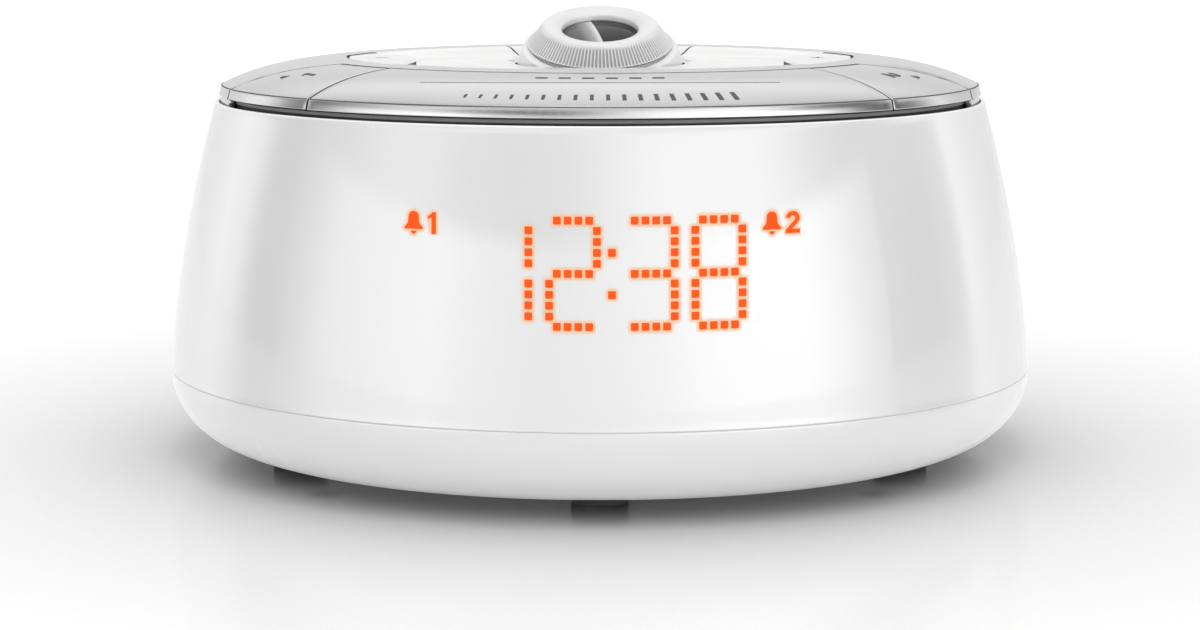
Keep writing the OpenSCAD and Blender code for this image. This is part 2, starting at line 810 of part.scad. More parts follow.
module display_leds()
    color("orange") {
        each_dot() led(dot / 2 - 0.25);
        for (side = [-1, 1], k = [-1, 1])
            translate([side * icon_x + k * icon_half_w / 2, 0, display_z + (icon_low + icon_high) / 2])
                led(0.8);
    }

module led(half_w)
    box([-half_w, half_w], [-board_face_y - 0.6, -board_face_y], [-half_w, half_w]);

module light_mask()
    color("black")
    difference() {
        intersection() {
            box([-mask_half_w, mask_half_w], [-seam_r, -board_face_y],
                [display_z - mask_h / 2, display_z + mask_h / 2]);
            body_inside(mask_gap);
        }
        each_dot() box([-dot / 2, dot / 2], [-seam_r, -board_face_y + 1], [-dot / 2, dot / 2]);
        for (side = [-1, 1])
            box([side * icon_x - icon_half_w, side * icon_x + icon_half_w], [-seam_r, -board_face_y + 1],
                [display_z + icon_low, display_z + icon_high]);
        display_screw_spots() rotate([90, 0, 0]) pole(shank_r + shank_gap, -1, 5.5);
    }

lug_t = 1.2;
lug_w = 8.5;
lug_screw_x = transformer_size[0] / 2 + lug_w - 3.8;
function lug_x(side) = side < 0
    ? [-transformer_size[0] / 2 - lug_w, -transformer_size[0] / 2 + 1]
    : [transformer_size[0] / 2 - 1, transformer_size[0] / 2 + lug_w];

module transformer_screw_spots()
    for (side = [-1, 1]) translate([transformer_at[0] + side * lug_screw_x, transformer_at[1], 0]) children();

module speaker_screw_spots()
    for (a = [45, 135, 225, 315])
        translate([polar(speaker_r - 1.9, a)[0], speaker_y + polar(speaker_r - 1.9, a)[1], 0]) children();

module transformer_core()
    color("dimgray") translate([transformer_at[0], transformer_at[1], floor_z])
    difference() {
        union() {
            box([-transformer_size[0] / 2, transformer_size[0] / 2],
                [-transformer_size[1] / 2, transformer_size[1] / 2], [0, transformer_size[2]]);
            for (side = [-1, 1]) box(lug_x(side), [-4, 4], [0, lug_t]);
        }
        for (side = [-1, 1])
            box([side * 8 - 3, side * 8 + 3], [-20, 20], [5.5, transformer_size[2] - 5.5]);
        for (side = [-1, 1]) translate([side * lug_screw_x, 0, 0]) pole(shank_r + shank_gap, -1, 3);
    }

module transformer_winding()
    color("goldenrod") translate([transformer_at[0], transformer_at[1], floor_z])
    difference() {
        box([-10.8, 10.8], [-13, 13], [5.8, transformer_size[2] - 5.8]);
        box([-5, 5], [-transformer_size[1] / 2, transformer_size[1] / 2], [0, 40]);
    }

module speaker_basket()
    color("dimgray") translate([0, speaker_y, floor_z])
    difference() {
        rotate_extrude()
            polygon([[speaker_r - 4, 0], [speaker_r, 0], [speaker_r, speaker_flange_t],
                [speaker_r - 3.6, speaker_flange_t],
                [magnet_r + 1.5, speaker_h], [0, speaker_h], [0, speaker_h - 1], [magnet_r, speaker_h - 1]]);
        translate([0, -speaker_y, 0]) speaker_screw_spots() pole(0.9, -1, 3);
    }

module speaker_cone()
    color("black") translate([0, speaker_y, floor_z])
        rotate_extrude()
            polygon([[0, 4.6], [5, 5.4], [8, 6.4], [speaker_r - 5.3, 0.4], [speaker_r - 5.3, 1.2],
                [8.2, 7.2], [5, 6.2], [0, 5.4]]);

module speaker_magnet()
    color("gray") translate([0, speaker_y, floor_z]) pole(magnet_r, speaker_h, speaker_h + magnet_h - 0.4);

module small_screw()
    difference() {
        union() {
            pole(1.7, -1, 0);
            pole(0.8, -1 - speaker_flange_t - floor_bite, -0.9);
        }
        box([-2, 2], [-0.2, 0.2], [-0.4, 1]);
    }

module inner_screws()
    color("silver") {
        at_each(main_board_posts)
            translate([0, 0, main_board_z + board_t + head_h]) screw(head_h + board_t + 7);
        display_screw_spots()
            translate([0, board_t + head_h, 0]) rotate([-90, 0, 0]) screw(head_h + board_t + 5);
        transformer_screw_spots()
            translate([0, 0, floor_z + lug_t + head_h]) screw(head_h + lug_t + floor_bite);
        speaker_screw_spots() translate([0, 0, floor_z + speaker_flange_t + 1]) small_screw();
    }

// ---------- battery bay ----------

module battery_tray()
    color("black")
    difference() {
        box([-bay_half_l - bay_wall, bay_half_l + bay_wall],
            [bay_y - bay_half_w - bay_wall, bay_y + bay_half_w + bay_wall],
            [floor_z, cell_z + cell_r + 0.3 + bay_wall]);
        box([-bay_half_l, bay_half_l], [bay_y - bay_half_w, bay_y + bay_half_w],
            [floor_z - 1, cell_z + cell_r + 0.3]);
    }

module battery_cell(side)
    color("darkorange") translate([0, bay_y + side * cell_pitch / 2, cell_z]) rotate([0, 90, 0]) {
        pole(cell_r, -cell_len / 2, cell_len / 2 - 1);
        pole(1.8, cell_len / 2 - 1.01, cell_len / 2);
    }

module battery_contacts()
    color("lightgray")
    for (side = [-1, 1]) translate([0, bay_y + side * cell_pitch / 2, cell_z]) {
        // Plate and nub against the button end, plate and ring spring against the flat end
        box([bay_half_l - 0.6, bay_half_l], [-4, 4], [-4, 4]);
        box([cell_len / 2, bay_half_l - 0.5], [-1, 1], [-1, 1]);
        box([-bay_half_l, -bay_half_l + 0.5], [-4, 4], [-4, 4]);
        rotate([0, 90, 0]) pipe(3.2, 2.4, -bay_half_l + 0.4, -cell_len / 2);
    }

module battery_door()
    color("whitesmoke")
    difference() {
        intersection() {
            union() {
                box([-door_half_w, door_half_w], [bay_y - bay_half_w - 3, seam_r], [foot_h, foot_h + door_t]);
                box([-door_half_w - tongue_w, door_half_w + tongue_w], [bay_y - bay_half_w - 1, 66],
                    [foot_h + 0.8, foot_h + door_t]);
            }
            base_mass(0, 0);
        }
        for (i = [0 : 3]) box([-8, 8], [62 + i * 2, 63 + i * 2], [foot_h - 1, foot_h + 0.5]);
    }

// ---------- lead outlets ----------

module gland(bore_r)
    rotate([-90, 0, 0]) difference() {
        union() {
            pole(bore_r + gland_t, gland_y[0], gland_y[1]);
            pole(bore_r + 2 * gland_t, gland_y[0], gland_y[0] + gland_t);
        }
        pole(bore_r, gland_y[0] - 1, gland_y[1] + 1);
    }

module lead_gland() color("dimgray") translate([0, 0, outlet_z]) gland(lead_bore_r);
module aerial_gland() color("dimgray") translate([outlet_pitch, -aerial_step, outlet_z]) gland(aerial_bore_r);

// ---------- projector ----------

// Everything below the tilted plane, at s = 0 less a depth
module below_tilted_plane(depth)
    on_lens_axis() translate([0, 0, -60 - depth]) cylinder(r = 60, h = 60);

// The collar's outline as [taper share, height above the panel's floor], and its foot
collar_shape = [[0, 0.6], [0.35, 4], [0.9, 8], [1.1, 14]];
collar_foot_in = 1.2;
collar_low_z = deck_top_z + 0.1;

module collar_mass(inset)
    rotate_extrude()
        polygon(concat(
            [[0, collar_low_z], [collar_r - collar_foot_in - inset, collar_low_z],
             [collar_r - collar_foot_in - inset, panel_under_z - collar_foot_in],
             [collar_r - inset, panel_under_z]],
            [for (p = collar_shape) [collar_r - p[0] * collar_taper - inset, panel_floor_z + p[1]]],
            [[0, panel_floor_z + collar_shape[3][1]]]));

module turret() {
    journal_low_z = deck_under_z - 2.2;
    color("white")
    difference() {
        union() {
            difference() {
                intersection() {
                    collar_mass(0);
                    below_tilted_plane(0);
                }
                intersection() {
                    collar_mass(collar_t);
                    below_tilted_plane(collar_t);
                    pole(collar_r, collar_low_z + collar_t, 100);
                }
            }
            pole(journal_r, journal_low_z, collar_low_z + thin);
            // Tilted neck that carries the focus ring
            on_lens_axis() pole(neck_r, lamp_flange_s - lamp_flange_h, neck_top_s);
        }
        pole(journal_r - journal_t, journal_low_z - 1, collar_low_z + collar_t + 0.1);
        pipe(journal_r + 1, journal_r - 0.5, deck_under_z - 1.2, deck_under_z - 0.1);
        on_lens_axis() pole(neck_bore_r, -40, neck_top_s + 1);
    }
}

module turret_clip()
    color("gray")
    difference() {
        pipe(journal_r + 1.8, journal_r - 0.45, deck_under_z - 1.15, deck_under_z - 0.15);
        box([-3, 3], [0, 30], [deck_under_z - 3, deck_under_z + 3]);
    }

module lamp_tube()
    color("black") on_lens_axis()
    difference() {
        union() {
            pole(barrel_r, lamp_flange_s - lamp_flange_h, lamp_flange_s);
            pole(lamp_tube_r, lamp_flange_s - lamp_flange_h - lamp_tube_len, lamp_flange_s - 1);
        }
        pole(lamp_tube_r - 1, lamp_flange_s - lamp_flange_h - lamp_tube_len - 1, lamp_flange_s + 1);
    }

lamp_low_s = lamp_flange_s - lamp_flange_h - lamp_tube_len;

module lamp_board()
    color("darkgreen") on_lens_axis() pole(lamp_tube_r, lamp_low_s - board_t, lamp_low_s);

module lamp_led()
    color("orange") on_lens_axis() {
        pole(2.5, lamp_low_s, lamp_low_s + 2.2);
        translate([0, 0, lamp_low_s + 2.2]) intersection() {
            sphere(r = 2.5);
            pole(3, -0.5, 3);
        }
    }

module condenser_lens()
    color("lightblue") on_lens_axis() translate([0, 0, lamp_low_s + 7])
    intersection() {
        pole(lamp_tube_r - 1.05, -0.6, 4);
        translate([0, 0, -9.2]) sphere(r = 12);
    }

module image_cell()
    color("slategray") on_lens_axis()
    box([-4.2, 4.2], [-4.2, 4.2], [lamp_flange_s - 3.2, lamp_flange_s - 2]);

module focus_ring() {
    top_s = ring_low_s + focus_band_h + crown_h;
    color("silver") on_lens_axis()
    difference() {
        rotate_extrude()
            polygon([
                [neck_r + running_gap, ring_low_s], [focus_r, ring_low_s],
                [focus_top_r, ring_low_s + focus_band_h],
                [focus_top_r - 0.3, ring_low_s + focus_band_h + 0.4],
                [focus_top_r - 0.7, top_s - 0.25], [lip_r, top_s], [lip_r - 0.5, top_s - 0.15],
                [mouth_r, top_s - 1.4], [mouth_r, neck_top_s + 0.2],
                [neck_r + running_gap, neck_top_s + 0.2]]);
        for (i = [0 : rib_count - 1]) rotate([0, 0, i * 360 / rib_count])
            rib_groove();
    }
}

// One groove, laid along the sloping side of the ribbed band
module rib_groove() {
    run = focus_r - focus_top_r;
    slope = atan2(focus_band_h, run);
    translate([focus_r, 0, ring_low_s]) rotate([0, slope - 180, 0])
        translate([-1, -groove_w / 2, -groove_d])
            cube([norm([run, focus_band_h]) + 1 - 0.3, groove_w, groove_d + 1]);
}

module lens_barrel()
    color("black") on_lens_axis()
        pipe(barrel_r, barrel_r - barrel_t, barrel_low_s, barrel_low_s + barrel_len);

module projection_lens()
    color("lightblue") on_lens_axis() translate([0, 0, barrel_low_s + barrel_len - 2.6])
    intersection() {
        pole(barrel_r - barrel_t - 0.03, 0, 3);
        translate([0, 0, -18]) sphere(r = 20.2);
    }

// ---------- nodes ----------

base_shell();
body_shell();
for (i = [1 : foot_count])
    foot(i);
base_screws();
deck();
deck_screws();
top_ring();
key_panel();
key_board();
key_switches();
main_board();
main_board_parts();
tuner_shield();
display_board();
display_leds();
light_mask();
transformer_core();
transformer_winding();
speaker_basket();
speaker_cone();
speaker_magnet();
inner_screws();
battery_tray();
battery_cell(-1);  // battery_cell_front
battery_cell(1);  // battery_cell_rear
battery_contacts();
battery_door();
lead_gland();
aerial_gland();
key_cable();
snooze_key();
plunger(polar(snooze_pusher[0], snooze_pusher[1]));  // snooze_plunger
alarm_key(-1);  // alarm_one_key
plunger(polar(side_pusher[0], -side_pusher[1]));  // alarm_one_plunger
alarm_key(1);  // alarm_two_key
plunger(polar(side_pusher[0], side_pusher[1]));  // alarm_two_plunger
end_key(-1);  // left_end_key
plunger([-end_pusher[0], end_pusher[1]]);  // left_end_plunger
end_key(1);  // right_end_key
plunger(end_pusher);  // right_end_plunger
rear_key();
plunger(rear_pusher);  // rear_plunger
turret();
turret_clip();
lamp_tube();
lamp_board();
lamp_led();
image_cell();
condenser_lens();
focus_ring();
lens_barrel();
projection_lens();
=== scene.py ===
import math

import bpy
from mathutils import Matrix, Vector


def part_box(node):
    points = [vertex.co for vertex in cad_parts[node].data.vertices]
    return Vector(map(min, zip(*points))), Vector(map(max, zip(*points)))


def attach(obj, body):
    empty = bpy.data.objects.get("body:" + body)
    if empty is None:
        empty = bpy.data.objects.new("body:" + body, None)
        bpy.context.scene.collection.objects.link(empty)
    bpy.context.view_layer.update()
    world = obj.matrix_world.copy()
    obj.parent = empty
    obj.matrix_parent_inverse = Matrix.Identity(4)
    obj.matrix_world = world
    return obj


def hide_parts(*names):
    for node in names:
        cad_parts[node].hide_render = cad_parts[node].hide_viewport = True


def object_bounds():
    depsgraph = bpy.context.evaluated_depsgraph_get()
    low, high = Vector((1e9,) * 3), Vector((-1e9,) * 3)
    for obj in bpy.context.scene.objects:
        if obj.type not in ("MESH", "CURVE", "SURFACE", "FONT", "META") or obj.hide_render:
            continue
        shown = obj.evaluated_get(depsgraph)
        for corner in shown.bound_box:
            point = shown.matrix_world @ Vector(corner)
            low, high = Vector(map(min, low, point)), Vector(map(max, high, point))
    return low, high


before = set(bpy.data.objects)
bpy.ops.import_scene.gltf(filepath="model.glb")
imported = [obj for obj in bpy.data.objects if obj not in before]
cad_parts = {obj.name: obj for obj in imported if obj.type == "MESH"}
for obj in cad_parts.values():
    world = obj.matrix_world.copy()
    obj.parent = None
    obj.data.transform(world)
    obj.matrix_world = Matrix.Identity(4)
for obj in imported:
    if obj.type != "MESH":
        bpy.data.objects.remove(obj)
cad_low, cad_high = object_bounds()

# ---------- Camera ----------
# A long lens at about the height of a person's eyes over a bedside table. It looks
# slightly down at the front of the clock.

bpy.ops.object.camera_add(location=(0, -0.6113, 0.1130), rotation=(math.radians(90 - 8.045), 0, 0))
camera = bpy.context.object
camera.name = "camera"
camera.data.lens = 88.43
camera.data.sensor_width = 36
camera.data.clip_start = 0.05
bpy.context.scene.camera = camera
bpy.context.scene.view_settings.view_transform = "Standard"

# ---------- Studio ----------
# A white sweep under a ring of soft panels. The panels stand at set compass angles, and
# the gloss shell shows them as upright bands. Large soft panels hang above the clock.

# Compass angle from the front towards +X, in degrees, and the panel's brightness there
LOW_PANELS = [
    (-180, 0.86), (-160, 0.9), (-145, 0.9), (-135, 1.06), (-125, 1.45), (-115, 1.35), (-105, 0.25),
    (-95, 0.15), (-85, 0.79), (-75, 1.6), (-45, 2.15), (-35, 1.55), (-15, 0.9), (-5, 1.05), (15, 1.6),
    (25, 2.2), (35, 2.6), (55, 2.75), (65, 2.1), (75, 1.05), (81, 0.7), (82.5, 0.04), (100, 0.04),
    (112, 0.55), (118, 1.45), (130, 0.9), (145, 0.8), (165, 0.85), (180, 0.86)]
# The same for the lights just above them, which the keys' silver edge shows
EDGE_PANELS = [
    (-180, 0.8), (-160, 0.82), (-145, 0.82), (-123, 0.92), (-110, 0.35), (-102, 0.1), (-92, 0.16),
    (-83, 0.42), (-74, 0.64), (-66, 0.95), (-58, 1.1), (-50, 0.92), (-43, 0.56), (-36, 0.27), (-26, 0.05),
    (-18, 0.02), (-10, 0.2), (-2, 0.62), (5, 1.1), (12, 1.5), (20, 1.75), (46, 1.75), (54, 1.25), (62, 0.6),
    (69, 0.2), (75, 0.02), (87, 0.02), (96, 0.4), (106, 1.0), (120, 1.1), (150, 0.82), (180, 0.8)]
# Heights above the horizon, in degrees, at which each ring begins and ends
EDGE_LOW, EDGE_IN = 15, 18
EDGE_OUT, EDGE_TOP = 27, 31
LOW_OUT, LOW_TOP = 24, 40
# Each light overhead: its level, the heights where it comes in and where it goes out, and
# how far round from the front or the back it reaches, all in degrees
AMBIENT = (0.6, (24, 40))
OVER_FRONT = (0.3, (34, 44), (84, 90), (44, 62))
ZENITH = (0.75, (56, 66))
OVER_BACK = (0.55, (18, 32), (50, 60), (8, 36))


def node_of(tree, kind, **settings):
    node = tree.nodes.new(kind)
    for key, value in settings.items():
        setattr(node, key, value)
    return node


def maths(tree, operation, first, second=None, third=None):
    """One Math node. Each operand is a number or another node's socket."""
    node = node_of(tree, "ShaderNodeMath", operation=operation)
    for socket, value in zip(node.inputs, (first, second, third)):
        if value is None:
            continue
        if isinstance(value, (int, float)):
            socket.default_value = value
        else:
            tree.links.new(value, socket)
    return node.outputs[0]


def eased(tree, value, low, high, from_value=0.0, to_value=1.0):
    """A soft step of a socket's value between two of its readings."""
    node = node_of(tree, "ShaderNodeMapRange", interpolation_type="SMOOTHSTEP")
    tree.links.new(value, node.inputs["Value"])
    node.inputs["From Min"].default_value = low
    node.inputs["From Max"].default_value = high
    node.inputs["To Min"].default_value = from_value
    node.inputs["To Max"].default_value = to_value
    return node.outputs["Result"]


def graded(tree, value, stops):
    """A grey scale through (place, level) stops, read where a socket's value from 0 to 1 says."""
    scale = node_of(tree, "ShaderNodeValToRGB")
    tree.links.new(value, scale.inputs["Fac"])
    marks = scale.color_ramp.elements
    for mark, (place, level) in zip(marks, (stops[0], stops[-1])):
        mark.position = place
        mark.color = (level, level, level, 1)
    for place, level in stops[1:-1]:
        marks.new(place).color = (level, level, level, 1)
    return scale.outputs["Color"]


def mixed(tree, share, first, second):
    """Mixes two shaders; a share of 1 is all of the second."""
    mix = node_of(tree, "ShaderNodeMixShader")
    for socket, source in zip(mix.inputs, (share, first, second)):
        tree.links.new(source, socket)
    return mix.outputs[0]


world = bpy.data.worlds.new("studio")
bpy.context.scene.world = world
world.use_nodes = True
studio = world.node_tree
studio.nodes.clear()
direction = node_of(studio, "ShaderNodeSeparateXYZ")
studio.links.new(node_of(studio, "ShaderNodeTexCoord").outputs["Generated"], direction.inputs[0])
from_front = maths(studio, "MULTIPLY", direction.outputs["Y"], -1.0)
compass = maths(studio, "DEGREES", maths(studio, "ARCTAN2", direction.outputs["X"], from_front))
from_back = maths(studio, "DEGREES", maths(studio, "ARCTAN2", direction.outputs["X"], direction.outputs["Y"]))
height = maths(studio, "DEGREES", maths(studio, "ARCSINE", direction.outputs["Z"]))


def ring_of_panels(levels):
    """Brightness round the compass, from a list of angles and levels."""
    brightest = max(level for _, level in levels)
    stops = [(angle / 360 + 0.5, level / brightest) for angle, level in levels]
    around = maths(studio, "MULTIPLY_ADD", compass, 1 / 360, 0.5)
    return maths(studio, "MULTIPLY", graded(studio, around, stops), brightest)


def overhead(level, rise, fall=None, reach=None, turn=None):
    """A soft panel above the rings, between two heights and within a turn from one side."""
    light = maths(studio, "MULTIPLY", eased(studio, height, *rise), level)
    if fall:
        light = maths(studio, "MULTIPLY", light, eased(studio, height, *fall, 1, 0))
    if reach:
        aside = maths(studio, "ABSOLUTE", turn)
        light = maths(studio, "MULTIPLY", light, eased(studio, aside, *reach, 1, 0))
    return light


near_edge = maths(studio, "MULTIPLY", eased(studio, height, EDGE_LOW, EDGE_IN),
                  eased(studio, height, EDGE_OUT, EDGE_TOP, 1, 0))
glow = ring_of_panels(LOW_PANELS)
step = maths(studio, "SUBTRACT", ring_of_panels(EDGE_PANELS), glow)
glow = maths(studio, "MULTIPLY_ADD", step, near_edge, glow)
glow = maths(studio, "MULTIPLY", glow, eased(studio, height, LOW_OUT, LOW_TOP, 1, 0))
for above in (overhead(*AMBIENT), overhead(*OVER_FRONT, compass), overhead(*ZENITH),
              overhead(*OVER_BACK, from_back)):
    glow = maths(studio, "ADD", glow, above)
seen = node_of(studio, "ShaderNodeLightPath")
surroundings = node_of(studio, "ShaderNodeBackground")
studio.links.new(glow, surroundings.inputs["Color"])
backdrop = node_of(studio, "ShaderNodeBackground")
backdrop.inputs["Color"].default_value = (1, 1, 1, 1)
choice = mixed(studio, seen.outputs["Is Camera Ray"], surroundings.outputs[0], backdrop.outputs[0])
studio.links.new(choice, node_of(studio, "ShaderNodeOutputWorld").inputs["Surface"])

FLOOR_SIZE = 8.0
FLOOR_TONE = 0.88
FLOOR_LIFT = 0.24
FLOOR_IOR = 2.0
FLOOR_ROUGHNESS = 0.1
# How far the clock's shade reaches over the sweep, how fast the lift fades in it, and how
# much of the tone goes close to the clock
SHADE_REACH = 0.12
SHADE_POWER = 3.0
SHADE_DEPTH = 0.8
# Distances from the clock between which the sweep runs into the white backdrop
FAR_FROM = 0.19
FAR_TO = 0.6
FAR_LIFT = 0.8

bpy.ops.object.select_all(action="DESELECT")
bpy.ops.mesh.primitive_plane_add(size=FLOOR_SIZE, location=(0, 0, cad_low.z))
floor = bpy.context.object
floor.name = "floor"
sweep = bpy.data.materials.new("white_sweep")
sweep.use_nodes = True
lacquer = sweep.node_tree
lacquer.nodes.clear()
matt = node_of(lacquer, "ShaderNodeBsdfDiffuse")
mirror = node_of(lacquer, "ShaderNodeBsdfGlossy")
mirror.inputs["Roughness"].default_value = FLOOR_ROUGHNESS
grazing = node_of(lacquer, "ShaderNodeFresnel")
grazing.inputs["IOR"].default_value = FLOOR_IOR
lift = node_of(lacquer, "ShaderNodeEmission")
open_sky = node_of(lacquer, "ShaderNodeAmbientOcclusion")
open_sky.inputs["Distance"].default_value = SHADE_REACH
ray = node_of(lacquer, "ShaderNodeLightPath")
straight = maths(lacquer, "MAXIMUM", ray.outputs["Is Camera Ray"], ray.outputs["Is Glossy Ray"])
straight = maths(lacquer, "MAXIMUM", straight, ray.outputs["Is Transmission Ray"])
from_camera = ray.outputs["Is Camera Ray"]
hidden = maths(lacquer, "SUBTRACT", 1.0, maths(lacquer, "POWER", open_sky.outputs["AO"], SHADE_POWER))
shade = maths(lacquer, "SUBTRACT", 1.0, maths(lacquer, "MULTIPLY", from_camera, hidden))
lit = maths(lacquer, "MULTIPLY", maths(lacquer, "MULTIPLY", straight, shade), FLOOR_LIFT)
reach = node_of(lacquer, "ShaderNodeVectorMath", operation="LENGTH")
lacquer.links.new(node_of(lacquer, "ShaderNodeTexCoord").outputs["Object"], reach.inputs[0])
far_off = eased(lacquer, reach.outputs["Value"], FAR_FROM, FAR_TO)
far_off = maths(lacquer, "MULTIPLY", far_off, from_camera)
lacquer.links.new(maths(lacquer, "MULTIPLY_ADD", far_off, FAR_LIFT, lit), lift.inputs["Strength"])
# Close to the clock the sweep is seen darker than it lights the shell
depth = maths(lacquer, "SUBTRACT", 1.0, open_sky.outputs["AO"])
depth = maths(lacquer, "MULTIPLY_ADD", maths(lacquer, "MULTIPLY", from_camera, depth), -SHADE_DEPTH, 1.0)
lacquer.links.new(maths(lacquer, "MULTIPLY", depth, FLOOR_TONE), matt.inputs["Color"])
polish = mixed(lacquer, grazing.outputs[0], matt.outputs[0], mirror.outputs[0])
total = node_of(lacquer, "ShaderNodeAddShader")
lacquer.links.new(polish, total.inputs[0])
lacquer.links.new(lift.outputs[0], total.inputs[1])
lacquer.links.new(total.outputs[0], node_of(lacquer, "ShaderNodeOutputMaterial").inputs["Surface"])
floor.data.materials.append(sweep)

# ---------- Base shell ----------
# The tray that carries everything, moulded in glossy white ABS: a bowl with a flat
# underside, recesses for feet and screws, slots over the loudspeaker and an opening for
# the battery bay.

MM = 0.001
body_low, body_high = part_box("body_shell")
seam_r = body_high.x
seam_z = body_low.z
rim_z = body_high.z
base_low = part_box("base_shell")[0].z
base_flat_r = 73.2 * MM
wall = 2.4 * MM
floor_t = 3.6 * MM
seam_round = 0.3 * MM
flank_steps = 26
flank_end = 88
lip_gap = 0.2 * MM
lip_h = 1.8 * MM
lip_t = 1.4 * MM
lip_root = 2.5 * MM
inside_steps = 8
inside_end = 78


def alone(piece):
    """Selects one piece and makes it the active one."""
    bpy.ops.object.select_all(action="DESELECT")
    piece.select_set(True)
    bpy.context.view_layer.objects.active = piece


def turned(name, outline, steps=192):
    """Spins an outline of (radius, height) points about the Z axis into a closed piece."""
    bpy.ops.object.select_all(action="DESELECT")
    bpy.ops.mesh.primitive_plane_add(size=0.001)
    piece = bpy.context.object
    piece.name = name
    bpy.ops.object.mode_set(mode="EDIT")
    bpy.ops.mesh.select_mode(type="VERT")
    bpy.ops.mesh.select_all(action="SELECT")
    bpy.ops.mesh.merge(type="CENTER")
    radius, z = outline[0]
    bpy.ops.transform.translate(value=(radius, 0, z))
    for next_radius, next_z in outline[1:]:
        bpy.ops.mesh.extrude_vertices_move(
            TRANSFORM_OT_translate={"value": (next_radius - radius, 0, next_z - z)})
        radius, z = next_radius, next_z
    bpy.ops.mesh.select_all(action="SELECT")
    bpy.ops.mesh.spin(steps=steps, angle=2 * math.pi, center=(0, 0, 0), axis=(0, 0, 1))
    bpy.ops.mesh.select_all(action="SELECT")
    bpy.ops.mesh.remove_doubles(threshold=2e-6)
    bpy.ops.mesh.normals_make_consistent(inside=False)
    bpy.ops.object.mode_set(mode="OBJECT")
    return piece


def faces_outward(piece):
    """Turns the faces of a closed piece outwards."""
    alone(piece)
    bpy.ops.object.mode_set(mode="EDIT")
    bpy.ops.mesh.select_all(action="SELECT")
    bpy.ops.mesh.normals_make_consistent(inside=False)
    bpy.ops.object.mode_set(mode="OBJECT")


def smooth(piece, angle=38):
    alone(piece)
    bpy.ops.object.shade_smooth_by_angle(angle=math.radians(angle))


def apply_modifier(piece, kind, **settings):
    alone(piece)
    bpy.ops.object.modifier_add(type=kind)
    modifier = piece.modifiers[-1]
    for key, value in settings.items():
        setattr(modifier, key, value)
    bpy.ops.object.modifier_apply(modifier=modifier.name)


def cut_away(piece, cutters, solver="EXACT"):
    """Takes a list of cutting bodies out of a piece and removes them."""
    for cutter in cutters:
        apply_modifier(piece, "BOOLEAN", operation="DIFFERENCE", solver=solver, object=cutter)
        bpy.data.objects.remove(cutter)


def drill(radius, low, high, at):
    """An upright round cutter."""
    bpy.ops.object.select_all(action="DESELECT")
    bpy.ops.mesh.primitive_cylinder_add(
        vertices=48, radius=radius, depth=high - low, location=(at[0], at[1], (low + high) / 2))
    bpy.ops.object.transform_apply(location=True, rotation=True, scale=True)
    return bpy.context.object


def mill(x, y, z):
    """A box-shaped cutter between three pairs of coordinates."""
    bpy.ops.object.select_all(action="DESELECT")
    bpy.ops.mesh.primitive_cube_add(
        size=1, location=((x[0] + x[1]) / 2, (y[0] + y[1]) / 2, (z[0] + z[1]) / 2))
    bpy.context.object.scale = (x[1] - x[0], y[1] - y[0], z[1] - z[0])
    bpy.ops.object.transform_apply(location=True, rotation=True, scale=True)
    return bpy.context.object


def joined(pieces):
    """Joins several objects into the first one."""
    bpy.ops.object.select_all(action="DESELECT")
    for piece in pieces:
        piece.select_set(True)
    bpy.context.view_layer.objects.active = pieces[0]
    if len(pieces) > 1:
        bpy.ops.object.join()
    return bpy.context.object


def round_corner(centre_r, centre_z, radius, start, end, count=4):
    """Points of a small arc in an outline; angles in degrees from +R towards +Z."""
    return [(centre_r + radius * math.cos(math.radians(start + (end - start) * i / count)),
             centre_z + radius * math.sin(math.radians(start + (end - start) * i / count)))
            for i in range(count + 1)]


def plan(radius, angle):
    """A place in plan; the angle counts from the front towards +X, in degrees."""
    return radius * math.sin(math.radians(angle)), -radius * math.cos(math.radians(angle))


base_outline = [(0, base_low)]
for i in range(flank_steps + 1):
    swing = math.radians(flank_end * i / flank_steps)
    base_outline.append((
        base_flat_r + (seam_r - base_flat_r) * math.sin(swing),
        seam_z - (seam_z - base_low) * math.cos(swing)))
base_outline += round_corner(seam_r - seam_round, seam_z - seam_round, seam_round, 10, 90)
lip_r = seam_r - wall - lip_gap
base_outline += [(lip_r, seam_z), (lip_r, seam_z + lip_h), (lip_r - lip_t, seam_z + lip_h),
                 (lip_r - lip_t, seam_z - lip_root)]
for i in range(inside_steps, -1, -1):
    swing = math.radians(inside_end * i / inside_steps)
    base_outline.append((
        base_flat_r + (seam_r - base_flat_r - wall - 2 * MM) * math.sin(swing),
        seam_z - (seam_z - base_low - floor_t) * math.cos(swing)))
base_outline.append((0, base_low + floor_t))
base = turned("base_tray", base_outline)

foot_ring_r = 64.2 * MM
foot_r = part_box("foot_1")[1].x
foot_angles = [0, 72, 144, 216, 288]
foot_recess = 1 * MM
foot_fit = 0.05 * MM
post_ring_r = 70 * MM
post_angles = [50, 86.5, 126, 234, 273.5, 310]
screw_well_r = 3.1 * MM
screw_well_h = 2.1 * MM
screw_hole_r = 1.45 * MM
screw_hole_h = 8 * MM
well_overlap = 0.3 * MM
# How far the cutters stand out below; each kind has its own, so that no faces coincide
foot_cut, well_cut = 1 * MM, 1.2 * MM
recesses = [drill(foot_r + foot_fit, base_low - foot_cut, base_low + foot_recess, plan(foot_ring_r, a))
            for a in foot_angles]
recesses += [drill(screw_well_r, base_low - well_cut, base_low + screw_well_h, plan(post_ring_r, a))
             for a in post_angles]
cut_away(base, [joined(recesses)])
screw_hole_low = base_low + screw_well_h - well_overlap
cut_away(base, [joined([
    drill(screw_hole_r, screw_hole_low, base_low + screw_hole_h, plan(post_ring_r, a))
    for a in post_angles])])

